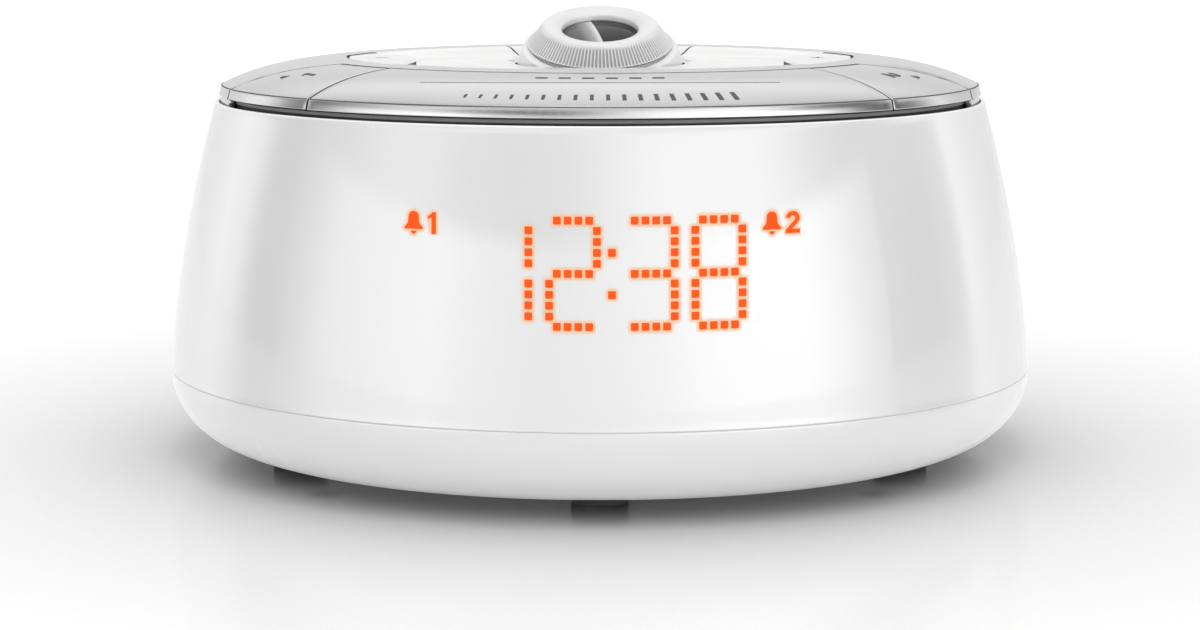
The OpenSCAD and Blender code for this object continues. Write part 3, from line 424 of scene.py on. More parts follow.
speaker_y = -22 * MM
grille_r = 20 * MM
slot_pitch = 5.2 * MM
slot_w = 2 * MM
slot_h = 6 * MM
slots = []
for i in range(-3, 4):
    slot_y = speaker_y + i * slot_pitch
    half = math.sqrt(grille_r ** 2 - (i * slot_pitch) ** 2)
    slots.append(mill(
        (-half, half), (slot_y - slot_w / 2, slot_y + slot_w / 2), (base_low - MM, base_low + slot_h)))
cut_away(base, [joined(slots)])

door_low, door_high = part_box("battery_door")
door_gap = 0.25 * MM
door_lip = 0.55 * MM
door_step = 2 * MM
tongue_w = 1.4 * MM
bay_half = 23.95 * MM
bay_y = (39.1 * MM, 60.9 * MM)
bay_h = 8 * MM
past_edge = seam_r + 5 * MM
base_round = 0.12 * MM
cut_away(base, [
    mill((door_low.x + tongue_w - door_gap, door_high.x - tongue_w + door_gap),
         (door_low.y - door_gap, past_edge), (base_low - MM, door_high.z + door_gap)),
    mill((door_low.x - door_gap, door_high.x + door_gap),
         (door_low.y + door_step - door_gap, past_edge), (base_low + door_lip, door_high.z + door_gap)),
    mill((-bay_half, bay_half), bay_y, (base_low, base_low + bay_h))])
apply_modifier(base, "BEVEL", width=base_round, segments=1, limit_method="ANGLE",
               angle_limit=math.radians(60))
smooth(base)


def surface(name, colour, metallic=0.0, roughness=0.4, tone=0.03, grain=260.0, spread=0.06, relief=0.04,
            relief_size=0.00004, relief_scale=1800.0, detail=4, **sockets):
    """A moulded, coated or metal finish: cloudy tone, uneven gloss and a fine skin relief."""
    finish = bpy.data.materials.new(name)
    finish.use_nodes = True
    tree = finish.node_tree
    shader = tree.nodes["Principled BSDF"]
    place = node_of(tree, "ShaderNodeTexCoord").outputs["Object"]
    # The fourth dimension keeps the noise's lattice planes from showing on flat faces
    cloud = node_of(tree, "ShaderNodeTexNoise", noise_dimensions="4D")
    cloud.inputs["W"].default_value = 1.7
    cloud.inputs["Scale"].default_value = grain
    cloud.inputs["Detail"].default_value = detail
    tree.links.new(place, cloud.inputs["Vector"])
    tint = node_of(tree, "ShaderNodeValToRGB")
    tint.color_ramp.elements[0].color = [c * (1 - 2 * tone) for c in colour] + [1]
    tint.color_ramp.elements[1].color = [min(1, c * (1 + 2 * tone)) for c in colour] + [1]
    tree.links.new(cloud.outputs["Fac"], tint.inputs["Fac"])
    tree.links.new(tint.outputs["Color"], shader.inputs["Base Color"])
    gloss = node_of(tree, "ShaderNodeMapRange")
    tree.links.new(cloud.outputs["Fac"], gloss.inputs["Value"])
    gloss.inputs["To Min"].default_value = max(0.02, roughness - 2 * spread)
    gloss.inputs["To Max"].default_value = roughness + 2 * spread
    tree.links.new(gloss.outputs["Result"], shader.inputs["Roughness"])
    skin = node_of(tree, "ShaderNodeTexNoise")
    skin.inputs["Scale"].default_value = relief_scale
    skin.inputs["Detail"].default_value = 2
    tree.links.new(place, skin.inputs["Vector"])
    bump = node_of(tree, "ShaderNodeBump")
    bump.inputs["Strength"].default_value = relief
    bump.inputs["Distance"].default_value = relief_size
    tree.links.new(skin.outputs["Fac"], bump.inputs["Height"])
    tree.links.new(bump.outputs["Normal"], shader.inputs["Normal"])
    shader.inputs["Metallic"].default_value = metallic
    for socket, value in sockets.items():
        shader.inputs[socket.replace("_", " ").title().replace("Ior", "IOR")].default_value = value
    return finish


def coat(piece, *finishes):
    """Gives a piece its finishes, the first one all over."""
    for finish in finishes:
        piece.data.materials.append(finish)


def dress(finish, *nodes):
    """Gives CAD nodes a finish."""
    for node in nodes:
        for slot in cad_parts[node].material_slots:
            slot.material = finish


gloss_white = surface(
    "white_gloss", (0.78, 0.78, 0.785), roughness=0.3, tone=0.008, grain=60, spread=0.03, relief=0.02,
    detail=2, coat_weight=1.0, coat_roughness=0.03, coat_ior=1.8)
coat(base, gloss_white)
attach(base, "housing")
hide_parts("base_shell")

# ---------- Feet and base screws ----------
# Five soft rubber buttons pressed into the underside, and six pan-head steel screws that
# hold the two shells together from below.

rubber = surface("foot_rubber", (0.045, 0.045, 0.047), roughness=0.75, relief=0.35, relief_scale=2600)
dress(rubber, "foot_1", "foot_2", "foot_3", "foot_4", "foot_5")
screw_steel = surface("screw_steel", (0.56, 0.56, 0.55), metallic=1.0, roughness=0.32, relief=0.15, grain=900)
dress(screw_steel, "base_screws", "deck_screws", "inner_screws")

# ---------- Body shell ----------
# The white drum with the display behind its front wall. It is moulded in one piece of
# glossy ABS, a little bulged, and ends in a thin rim around the dark deck.

rim_r = 79.1 * MM
side_bulge = 1.5 * MM
rim_lip = 0.8 * MM
rim_round = 0.25 * MM
ledge_depth = 2.7 * MM
deck_under = rim_z - ledge_depth


def body_radius(z):
    share = (z - seam_z) / (rim_z - seam_z)
    return seam_r + (rim_r - seam_r) * share + side_bulge * 4 * share * (1 - share)


body_outline = [(seam_r - wall, seam_z)]
body_outline += round_corner(seam_r - seam_round, seam_z + seam_round, seam_round, -90, -4)
side_low = seam_z + 1.2 * seam_round
side_top = rim_z - 1.2 * rim_round
side_steps = 44
inner_steps = 10
for i in range(side_steps + 1):
    z = side_low + (side_top - side_low) * i / side_steps
    body_outline.append((body_radius(z), z))
body_outline += round_corner(rim_r - rim_round, rim_z - rim_round, rim_round, 20, 90)
body_outline += round_corner(rim_r - rim_lip + rim_round, rim_z - rim_round, rim_round, 90, 180)
body_outline.append((rim_r - rim_lip, deck_under))
for i in range(inner_steps, -1, -1):
    z = seam_z + (deck_under - seam_z) * i / inner_steps
    body_outline.append((body_radius(z) - wall, z))
body = turned("body_drum", body_outline, steps=256)
# The two round outlets through the back wall, drilled between these distances from the axis
outlet_from, outlet_to = 60 * MM, 95 * MM
outlets = []
for (low, high), hole_r in ((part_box("lead_gland"), 4.55 * MM), (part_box("aerial_gland"), 2.75 * MM)):
    hole = drill(hole_r, outlet_from, outlet_to, (0, 0))
    bpy.ops.transform.rotate(value=math.radians(90), orient_axis="X", center_override=(0, 0, 0))
    bpy.ops.object.transform_apply(location=True, rotation=True, scale=True)
    centre = (low + high) / 2
    for vertex in hole.data.vertices:
        vertex.co = Vector((vertex.co.x + centre.x, abs(vertex.co.y), vertex.co.z + centre.z))
    faces_outward(hole)
    outlets.append(hole)
cut_away(body, outlets)
smooth(body)
coat(body, gloss_white)
# Painted highlight: the lip round the top is coloured whiter than the drum and shows as a fine white line
rim_painted_highlight = surface(
    "rim_painted_highlight", (0.99, 0.99, 0.99), roughness=0.2, tone=0.003, grain=60, spread=0.02, relief=0.02,
    coat_weight=1.0, coat_roughness=0.05, coat_ior=1.8)
coat(body, rim_painted_highlight)
lip_low_z = rim_z - 0.35 * MM
for face in body.data.polygons:
    if face.center.z > lip_low_z and math.hypot(face.center.x, face.center.y) > rim_r - rim_lip:
        face.material_index = 1
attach(body, "housing")
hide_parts("body_shell")

# ---------- Display ----------
# Square dots of orange light, four to a stroke, with a bell and a numeral for each alarm.
# Lamps on a board behind the drum shine through a mask and the thin front wall, which
# glows softly around each dot.

display_x = 2.15 * MM
display_z = 46.1 * MM
dot = 1.43 * MM
dot_pitch = 1.94 * MM
digit_pitch = 12.35 * MM
colon_gap = 1.68 * MM
half_w = 4.3 * MM
half_h = 9.42 * MM
glow_reach = 0.75 * MM
colon_reach = 3.74 * MM
light_lift = 0.06 * MM
glow_lift = 0.03 * MM
STROKES = {"1": "bc", "2": "abged", "3": "abgcd", "8": "abcdefg"}


def stroke_dots(stroke):
    """Places of one stroke's four dots from the figure's centre."""
    along = [(k - 1.5) * dot_pitch for k in range(4)]
    if stroke in "agd":
        row = {"a": half_h, "g": 0, "d": -half_h}[stroke]
        return [(x, row) for x in along]
    side = half_w if stroke in "bc" else -half_w
    middle = half_h / 2 if stroke in "bf" else -half_h / 2
    return [(side, middle + z) for z in along]


dot_places = []
for index, figure in enumerate("1238"):
    centre = display_x + (index - 1.5) * digit_pitch + (-1 if index < 2 else 1) * colon_gap / 2
    for stroke in STROKES[figure]:
        dot_places += [(centre + x, display_z + z) for x, z in stroke_dots(stroke)]
dot_places += [(display_x, display_z + z) for z in (-colon_reach, colon_reach)]


def on_wall(piece, lift):
    """Lays a flat piece, drawn in the XZ plane, on the curved front wall."""
    for vertex in piece.data.vertices:
        x, z = vertex.co.x, vertex.co.z
        vertex.co.y = -math.sqrt(body_radius(z) ** 2 - x ** 2) - lift


def flat_mark(name, outline):
    """A flat plate in the XZ plane from its outline of (x, z) points."""
    bpy.ops.object.select_all(action="DESELECT")
    bpy.ops.mesh.primitive_circle_add(vertices=len(outline), radius=dot, fill_type="NGON")
    mark = bpy.context.object
    mark.name = name
    for vertex, (x, z) in zip(mark.data.vertices, outline):
        vertex.co = (x, 0, z)
    return mark


def turn_over(sheet):
    """Flips a sheet's faces."""
    alone(sheet)
    bpy.ops.object.mode_set(mode="EDIT")
    bpy.ops.mesh.select_all(action="SELECT")
    bpy.ops.mesh.flip_normals()
    bpy.ops.object.mode_set(mode="OBJECT")


def faces_front(mark):
    """Turns a flat plate's faces towards -Y."""
    if sum(face.normal.y for face in mark.data.polygons) > 0:
        turn_over(mark)


def copy_at(mark, x, z):
    twin = mark.copy()
    twin.data = mark.data.copy()
    bpy.context.collection.objects.link(twin)
    twin.data.transform(Matrix.Translation((x, 0, z)))
    return twin


def patch(name, columns, rows, place):
    """A sheet of columns by rows faces; place(i, j) gives each grid point."""
    bpy.ops.object.select_all(action="DESELECT")
    bpy.ops.mesh.primitive_grid_add(x_subdivisions=columns, y_subdivisions=rows, size=2)
    piece = bpy.context.object
    piece.name = name
    for vertex in piece.data.vertices:
        i = round((vertex.co.x + 1) / 2 * columns)
        j = round((vertex.co.y + 1) / 2 * rows)
        vertex.co = place(i, j)
    alone(piece)
    bpy.ops.object.mode_set(mode="EDIT")
    bpy.ops.mesh.select_all(action="SELECT")
    bpy.ops.mesh.remove_doubles(threshold=3e-6)
    bpy.ops.mesh.select_all(action="SELECT")
    bpy.ops.mesh.dissolve_degenerate(threshold=3e-6)
    bpy.ops.mesh.select_all(action="SELECT")
    bpy.ops.mesh.normals_make_consistent(inside=False)
    bpy.ops.object.mode_set(mode="OBJECT")
    return piece


def faces_up(piece):
    """Turns a sheet's faces towards +Z."""
    if sum(face.normal.z * face.area for face in piece.data.polygons) < 0:
        turn_over(piece)
    return piece


def halo_of(mark, reach, rings=4):
    """A flat band round a mark. Its attribute "fade" falls from 1 at the mark to 0 outside."""
    rim = [(vertex.co.x, vertex.co.z) for vertex in mark.data.vertices]
    count = len(rim)
    area = sum(rim[k - 1][0] * rim[k][1] - rim[k][0] * rim[k - 1][1] for k in range(count))
    way = 1 if area > 0 else -1
    out = []
    for k in range(count):
        (ax, az), (bx, bz) = rim[k - 1], rim[(k + 1) % count]
        length = math.hypot(bx - ax, bz - az)
        out.append((way * (bz - az) / length, -way * (bx - ax) / length))

    def place(i, j):
        (x, z), (nx, nz) = rim[i % count], out[i % count]
        return x + nx * reach * j / rings, 0, z + nz * reach * j / rings

    halo = patch(mark.name + "_glow", count, rings, place)
    faces_front(halo)
    fade = halo.data.attributes.new("fade", "FLOAT", "POINT")
    for vertex in halo.data.vertices:
        away = reach
        for k in range(count):
            (ax, az), (bx, bz) = rim[k], rim[(k + 1) % count]
            along = (vertex.co.x - ax) * (bx - ax) + (vertex.co.z - az) * (bz - az)
            share = min(1, max(0, along / ((bx - ax) ** 2 + (bz - az) ** 2)))
            near_x, near_z = ax + share * (bx - ax), az + share * (bz - az)
            away = min(away, math.hypot(vertex.co.x - near_x, vertex.co.z - near_z))
        fade.data[vertex.index].value = 1 - away / reach
    return halo


corner = 0.22 * MM
side = dot / 2 - corner
dot_outline = []
for cx, cz, start in ((side, side, 0), (-side, side, 90), (-side, -side, 180), (side, -side, 270)):
    dot_outline += round_corner(cx, cz, corner, start, start + 90, 3)
one_dot = flat_mark("light_dot", dot_outline)
faces_front(one_dot)

# Right halves of the bell and its clapper, in millimetres
BELL = [(0, 4.15), (0.35, 4.1), (0.68, 3.9), (0.88, 3.6), (0.97, 3.2), (1.0, 2.6), (1.07, 2.1), (1.25, 1.75),
        (1.55, 1.45), (1.72, 1.2), (1.7, 1.0), (1.5, 0.9)]
CLAPPER = [(0.56, 0.62), (0.46, 0.3), (0.24, 0.08), (0, 0)]
bell_middle = 2.1
bell_half = [(x * MM, (z - bell_middle) * MM) for x, z in BELL]
clapper_half = [(x * MM, (z - bell_middle) * MM) for x, z in CLAPPER]
bell_outline = bell_half + [(-x, z) for x, z in reversed(bell_half[1:])]
bell = flat_mark("alarm_bell", bell_outline)
clapper = flat_mark("alarm_clapper", clapper_half + [(-x, z) for x, z in reversed(clapper_half[:-1])])
faces_front(bell)
faces_front(clapper)
sign_z = display_z + 8.4 * MM

# Outlines of the two numerals, in millimetres, and their half height
ONE = [(1.55, 0), (1.55, 3.95), (0.95, 3.95), (0.45, 3.45), (0, 3.2), (0, 2.65), (0.7, 2.95), (0.7, 0)]
TWO = [(1.38 + 1.3 * math.cos(math.radians(a)), 2.72 + 1.23 * math.sin(math.radians(a)))
       for a in (178, 155, 130, 105, 80, 55, 30, 5, -15, -35)]
TWO += [(1.3, 0.76), (2.72, 0.76), (2.72, 0), (0, 0), (0, 0.62)]
TWO += [(1.38 + 0.45 * math.cos(math.radians(a)), 2.68 + 0.5 * math.sin(math.radians(a)))
        for a in (-40, -15, 15, 50, 90, 130, 160, 178)]
figure_middle = 1.98


def numeral(text):
    """A flat numeral centred on the origin, standing in the XZ plane."""
    points = ONE if text == "1" else TWO
    middle = (min(x for x, z in points) + max(x for x, z in points)) / 2
    outline = [((x - middle) * MM, (z - figure_middle) * MM) for x, z in points]
    figure = flat_mark("numeral_" + text, outline)
    faces_front(figure)
    return figure


lit = []
glows = []
signs = [(one_dot, x, z) for x, z in dot_places]
for bell_x, numeral_x, text in ((-34.0 * MM, -30.6 * MM, "1"), (31.3 * MM, 35.2 * MM, "2")):
    signs += [(bell, bell_x, sign_z), (clapper, bell_x, sign_z), (numeral(text), numeral_x, sign_z)]
halos = {}
for mark, x, z in signs:
    lit.append(copy_at(mark, x, z))
    if mark.name not in halos:
        halos[mark.name] = halo_of(mark, glow_reach)
    glows.append(copy_at(halos[mark.name], x, z))
for name in [mark.name for mark, x, z in signs] + [halo.name for halo in halos.values()]:
    if name in bpy.data.objects:
        bpy.data.objects.remove(bpy.data.objects[name])
display = joined(lit)
display.name = "display_light"
on_wall(display, light_lift)
display_glow = joined(glows)
display_glow.name = "display_glow"
on_wall(display_glow, glow_lift)

light = surface(
    "display_orange", (0.1, 0.01, 0.002), roughness=0.9, tone=0.05, spread=0.02, relief=0.0,
    specular_ior_level=0.0, emission_color=(1.0, 0.112, 0.018, 1), emission_strength=0.95)
coat(display, light)
halo_light = bpy.data.materials.new("display_halo")
halo_light.use_nodes = True
tree = halo_light.node_tree
tree.nodes.clear()
clear = node_of(tree, "ShaderNodeBsdfTransparent")
shine = node_of(tree, "ShaderNodeEmission")
shine.inputs["Color"].default_value = (1.0, 0.62, 0.38, 1)
shine.inputs["Strength"].default_value = 1.0
fade = node_of(tree, "ShaderNodeAttribute", attribute_name="fade")
glow_falloff = 1.3
glow_level = 0.9
strength = maths(tree, "MULTIPLY", maths(tree, "POWER", fade.outputs["Fac"], glow_falloff), glow_level)
blend = mixed(tree, strength, clear.outputs[0], shine.outputs[0])
tree.links.new(blend, node_of(tree, "ShaderNodeOutputMaterial").inputs["Surface"])
coat(display_glow, halo_light)
for piece in (display, display_glow):
    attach(piece, "housing")

# ---------- Deck ----------
# The black moulded plate that closes the drum, screwed down from inside. Its edge shows as
# a black line inside the white rim, and its neck as a grey band under the keys.

deck_grey = surface(
    "deck_grey", (0.035, 0.035, 0.036), roughness=0.5, tone=0.05, relief=0.15, relief_scale=3000)
dress(deck_grey, "deck")
# Outline of the grey lip that fills the channel up to the keys' lower edge, in millimetres
CHANNEL = [(75.1, 72.4), (76.32, 72.4), (76.4, 72.48), (76.4, 73.3), (76.15, 73.7), (75.1, 73.8),
           (75.1, 72.4)]
channel = turned("channel_lip", [(r * MM, z * MM) for r, z in CHANNEL])
smooth(channel, 40)
channel_grey = surface(
    "channel_grey", (0.36, 0.36, 0.365), roughness=0.5, tone=0.02, relief=0.1, relief_scale=3000)
coat(channel, channel_grey)
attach(channel, "housing")

# ---------- Top ring ----------
# The fixed part of the dome in satin silver: a strip round the white panel, and the
# shoulders and back down to the edge. It is plated plastic, a shell with a thin wall.

edge_r = 77.9 * MM
edge_z = 75.4 * MM
edge_h = 1.9 * MM
edge_flare = 0.5 * MM
dome_h = 5.8 * MM
dome_power = 7
strip_r = 57.0 * MM
ring_front_y = 25.6 * MM
panel_front_r = 52.3 * MM
panel_back_r = 56 * MM
panel_back_y = 20 * MM
shell_t = 1.4 * MM
edge_round = 0.2 * MM


def dome_z(radius):
    return edge_z + dome_h * (1 - (radius / edge_r) ** dome_power)


def panel_edge(angle):
    """Distance from the axis to the panel's outline at a plan angle in degrees."""
    turn = math.radians(angle)
    back = panel_back_y * math.cos(turn) + math.sqrt(
        panel_back_r ** 2 - (panel_back_y * math.sin(turn)) ** 2)
    return min(panel_front_r, back)


def walled(piece, thickness, rounding, segments=3):
    """Gives a sheet its wall, inwards, and rounds its edges. The cut edges are the second finish."""
    faces_up(piece)
    # The rim faces of the wall take the second finish, the painted gap shade
    apply_modifier(piece, "SOLIDIFY", thickness=thickness, offset=-1, use_even_offset=True,
                   material_offset_rim=1)
    apply_modifier(piece, "BEVEL", width=rounding, segments=segments, limit_method="ANGLE",
                   angle_limit=math.radians(35), use_clamp_overlap=True)
    smooth(piece, 40)


def at_angle(radius, angle, z):
    x, y = plan(radius, angle)
    return x, y, z


ring_low_z = edge_z - edge_h
strip_corner = math.degrees(math.acos(ring_front_y / strip_r))
edge_corner = math.degrees(math.acos(ring_front_y / edge_r))
# Half of the angles at which the ring has an edge: closer together at its two corners
half_angles = [3 * k for k in range(22)] + [strip_corner]
half_angles += [strip_corner + (edge_corner - strip_corner) * k / 5 for k in range(1, 5)]
half_angles += [edge_corner - 0.01, edge_corner] + [72 + 2 * k for k in range(55)]
ring_angles = [-a for a in reversed(half_angles[1:])] + half_angles
ring_rows = [0, 0.1, 0.25, 0.4, 0.55, 0.7, 0.82, 0.91, 1]


def ring_place(i, j):
    angle = ring_angles[i]
    inner = panel_edge(angle)
    if abs(angle) < strip_corner:
        outer = strip_r
    elif abs(angle) < edge_corner:
        outer = ring_front_y / math.cos(math.radians(angle))
    else:
        outer = edge_r
    if j < len(ring_rows):
        radius = inner + (outer - inner) * ring_rows[j]
        return at_angle(radius, angle, dome_z(radius))
    if abs(angle) < edge_corner:
        return at_angle(outer, angle, dome_z(outer))
    return at_angle(edge_r + edge_flare, angle, ring_low_z)


top_ring = patch("top_ring_shell", len(ring_angles) - 1, len(ring_rows), ring_place)
silver = surface(
    "silver_satin", (0.60, 0.60, 0.605), metallic=0.85, roughness=0.21, tone=0.015, grain=700, spread=0.02,
    relief=0.10, relief_scale=5200)
# Painted shade: near black for the cut edges of shells and caps and the end keys' skirts, where the gaps
# between parts lie in shade
painted_gap_shade = surface("painted_gap_shade", (0.05, 0.05, 0.052), roughness=0.6, relief=0.1)
coat(top_ring, silver, painted_gap_shade)
walled(top_ring, shell_t, edge_round)
# Its skirt stands on the deck and closes the channel behind the front keys
skirt_r = 78.05 * MM
skirt_end = math.degrees(math.acos(ring_front_y / skirt_r)) + 0.3
skirt_low_z = 71.6 * MM
skirt_h = 2.4 * MM
skirt_t = 1.2 * MM
skirt_round = 0.1 * MM
skirt_steps = 96


def skirt_place(i, j):
    angle = skirt_end + (360 - 2 * skirt_end) * i / skirt_steps
    return at_angle(skirt_r, angle, skirt_low_z + j * skirt_h)


skirt = patch("top_ring_skirt", skirt_steps, 1, skirt_place)
if sum(face.normal.y * face.center.y * face.area for face in skirt.data.polygons) < 0:
    turn_over(skirt)
coat(skirt, silver)
apply_modifier(skirt, "SOLIDIFY", thickness=skirt_t, offset=-1, use_even_offset=True)
apply_modifier(skirt, "BEVEL", width=skirt_round, segments=2, limit_method="ANGLE",
               angle_limit=math.radians(50))
smooth(skirt, 40)
for piece in (top_ring, skirt):
    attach(piece, "housing")
    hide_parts("top_ring")

# ---------- Front keys ----------
# Three silver key caps that continue the dome, of plated plastic: a wide one over the
# display and one at each side. They stand on pins in the deck and press straight down.

key_inner_r = 57.4 * MM
key_split = 45
side_key_back = 26.2 * MM
split_gap = 0.26 * MM
key_wall = 1.5 * MM
key_rows = 16
key_row_lean = 0.85
key_columns = 60
side_columns = 24


def key_profile(row, inner):
    """Radius and height of a cap's row: over the dome, then down its outer wall."""
    if row <= key_rows:
        radius = inner + (edge_r - inner) * (row / key_rows) ** key_row_lean
        return radius, dome_z(radius)
    return edge_r + edge_flare, ring_low_z


def snooze_place(i, j):
    radius, z = key_profile(j, key_inner_r)
    edge = key_split - math.degrees(math.asin(0.5 * split_gap / radius))
    return at_angle(radius, edge * (2 * i / key_columns - 1), z)


def side_place(side):
    def place(i, j):
        radius, z = key_profile(j, key_inner_r + split_gap)
        start = key_split + math.degrees(math.asin(split_gap / radius))
        end = math.degrees(math.acos(side_key_back / radius))
        return at_angle(radius, side * (start + (end - start) * i / side_columns), z)
    return place


snooze = patch("snooze_cap", key_columns, key_rows + 1, snooze_place)
alarm_one = patch("alarm_one_cap", side_columns, key_rows + 1, side_place(-1))
alarm_two = patch("alarm_two_cap", side_columns, key_rows + 1, side_place(1))
for cap, body_name in ((snooze, "snooze_key"), (alarm_one, "alarm_one_key"), (alarm_two, "alarm_two_key")):
    coat(cap, silver, painted_gap_shade)
    walled(cap, key_wall, edge_round)
    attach(cap, body_name)
    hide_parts(body_name)
switch_dark = surface("switch_dark", (0.03, 0.03, 0.032), roughness=0.45, relief=0.1)
dress(switch_dark, "snooze_plunger", "alarm_one_plunger", "alarm_two_plunger", "left_end_plunger",
      "right_end_plunger", "rear_plunger", "key_switches", "main_board_parts")

# ---------- Signs on the front keys ----------
# Printed in dark grey on the caps: a thin line with a row of short dashes behind it, a
# row of strokes that grow from dim to bright in front of it, and numerals for the alarms.

print_lift = 0.05 * MM
plate_step = 1.2 * MM
print_grey = surface("print_grey", (0.085, 0.085, 0.09), roughness=0.6, relief=0.1)


def printed(name, strokes, body_name, finish):
    """Thin plates laid on the dome. A stroke is (radius, angle, length along, length across)."""
    plates = []
    for radius, angle, along, across in strokes:
        columns = max(2, round(along / plate_step))
        sweep_angle = math.degrees(along / radius)

        def place(i, j):
            r = radius + across * (j / 2 - 0.5)
            return at_angle(r, angle + sweep_angle * (i / columns - 0.5), dome_z(r) + print_lift)
        plates.append(faces_up(patch(name, columns, 2, place)))
    sign = joined(plates)
    sign.name = name
    coat(sign, finish)
    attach(sign, body_name)
    return sign


line_r = 66.4 * MM
line_bow = 1.8 * MM
line_step = 0.75
line_size = (0.9 * MM, 0.2 * MM)
dash_size = (2.3 * MM, 0.9 * MM)
dash_r = 62.8 * MM
stroke_r = 74.1 * MM
stroke_half_angle = 19.5
last_stroke = 17
thin_line = []
for k in range(-39, 40):
    angle = k * line_step
    thin_line.append((line_r + line_bow * (angle / 30) ** 2, angle, *line_size))
dashes = [(dash_r, -10 + 4 * k, *dash_size) for k in range(6)]
strokes = []
for k in range(last_stroke + 1):
    growth = k / last_stroke
    angle = stroke_half_angle * (2 * growth - 1)
    strokes.append((stroke_r, angle, (0.5 + 0.45 * growth) * MM, (1.3 + 1.7 * growth) * MM))
printed("snooze_signs", thin_line + dashes + strokes, "snooze_key", print_grey)


def dome_mark(figure, name, x, y, turn, size, body_name):
    """Lays a flat figure on the dome, turned in plan and centred at (x, y)."""
    figure.name = name
    for vertex in figure.data.vertices:
        u, v = vertex.co.x * size, vertex.co.z * size
        px = x + u * math.cos(turn) - v * math.sin(turn)
        py = y + u * math.sin(turn) + v * math.cos(turn)
        vertex.co = (px, py, dome_z(math.hypot(px, py)) + print_lift)
    faces_up(figure)
    if not figure.data.materials:
        coat(figure, print_grey)
    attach(figure, body_name)


sign_lean = 30
numeral_x, numeral_y, numeral_size = 56.8 * MM, -37.0 * MM, 1.1
bell_x, bell_y, bell_size = 61.8 * MM, -33.5 * MM, 0.62
for side, text, body_name in ((-1, "1", "alarm_one_key"), (1, "2", "alarm_two_key")):
    turn = math.radians(-sign_lean * side)
    small_figure = numeral(text)
    dome_mark(small_figure, body_name + "_numeral", side * numeral_x, numeral_y, turn, numeral_size,
              body_name)
    small_bell = flat_mark("bell", bell_outline)
    dome_mark(small_bell, body_name + "_bell", side * bell_x, bell_y, turn, bell_size, body_name)

# Painted shade: where the caps turn down over the edge, a fine dark line is laid along them in thin plates
edge_shade_r = 77.75 * MM
edge_shade_w = 0.24 * MM
edge_shade_step = 1.5
# How far each painted line of shade stops short of its cap's ends, in degrees
snooze_stop, side_front_stop, side_back_stop, ring_stop = 0.3, 0.4, 0.2, 1.0
painted_edge_shade = surface("painted_edge_shade", (0.09, 0.09, 0.092), roughness=0.6, relief=0.1)


def edge_line(name, start, end, body_name):
    count = max(4, round((end - start) / edge_shade_step))
    step = (end - start) / count
    along = math.radians(step) * edge_shade_r
    arcs = [(edge_shade_r, start + step * (k + 0.5), along, edge_shade_w) for k in range(count)]
    printed(name, arcs, body_name, painted_edge_shade)


snooze_end = key_split - snooze_stop
side_start = key_split + side_front_stop
side_end = math.degrees(math.acos(side_key_back / edge_shade_r)) - side_back_stop
ring_start = side_end + ring_stop
edge_line("snooze_edge_shade", -snooze_end, snooze_end, "snooze_key")
edge_line("alarm_one_edge_shade", -side_end, -side_start, "alarm_one_key")
edge_line("alarm_two_edge_shade", side_start, side_end, "alarm_two_key")
edge_line("top_ring_edge_shade", ring_start, 360 - ring_start, "housing")

# ---------- Key panel ----------
# The white dished panel in the middle of the dome, moulded with a flush rim and held from
# below. It has an opening for the projector's collar and one for each end key, and its
# rear is open for the key behind the projector.

panel_gap = 0.15 * MM
collar_hole_r = 17.6 * MM
panel_rim = 0.8 * MM
panel_slope = 6 * MM
panel_floor = 79.2 * MM
panel_t = 1.5 * MM


def panel_z(x, y):
    """Height of the dished panel: flush rim, soft slope, flat floor."""
    inside = min(panel_front_r - math.hypot(x, y), panel_back_r - math.hypot(x, y + panel_back_y))
    share = min(1, max(0, (inside - panel_rim) / panel_slope))
    share = share * share * (3 - 2 * share)
    return dome_z(math.hypot(x, y)) * (1 - share) + panel_floor * share


rear_half_angle = 33
panel_angles = [3 * k for k in range(-49, 50)]
rim_steps = [0, 0.4, 0.8, 1.3, 1.9, 2.5, 3.1, 3.7, 4.3, 4.9]
floor_steps = 10


def dish_radius(outer, j):
    """Radius of the dish's row j: close rows over the rim's slope, then even ones to the collar."""
    if j < len(rim_steps):
        return outer - rim_steps[j] * MM
    slope_end = outer - rim_steps[-1] * MM
    return slope_end + (collar_hole_r - slope_end) * (j - len(rim_steps) + 1) / floor_steps


def panel_place(i, j):
    angle = panel_angles[i]
    x, y = plan(dish_radius(panel_edge(angle) - panel_gap, j), angle)
    return x, y, panel_z(x, y)


panel = patch("panel_dish", len(panel_angles) - 1, len(rim_steps) - 1 + floor_steps, panel_place)
faces_up(panel)
white_key = surface(
    "white_key", (0.9, 0.9, 0.89), roughness=0.3, tone=0.005, grain=90, spread=0.02, relief=0.03,
    coat_weight=0.6, coat_roughness=0.1)
coat(panel, white_key, painted_gap_shade)
apply_modifier(panel, "SOLIDIFY", thickness=panel_t, offset=-1, use_even_offset=True, material_offset_rim=1)


def prism(outline, low, high):
    """An upright cutter from its outline in plan."""
    bpy.ops.object.select_all(action="DESELECT")
    bpy.ops.mesh.primitive_circle_add(vertices=len(outline), radius=dot, fill_type="NGON")
    cutter = bpy.context.object
    for vertex, (x, y) in zip(cutter.data.vertices, outline):
        vertex.co = (x, y, low)
    alone(cutter)
    bpy.ops.object.mode_set(mode="EDIT")
    bpy.ops.mesh.select_all(action="SELECT")
    bpy.ops.mesh.extrude_region_move(TRANSFORM_OT_translate={"value": (0, 0, high - low)})
    bpy.ops.object.mode_set(mode="OBJECT")
    faces_outward(cutter)
    # The cutter's faces pass the painted gap shade on to the walls they cut
    coat(cutter, white_key, painted_gap_shade)
    for face in cutter.data.polygons:
        face.material_index = 1
    return cutter


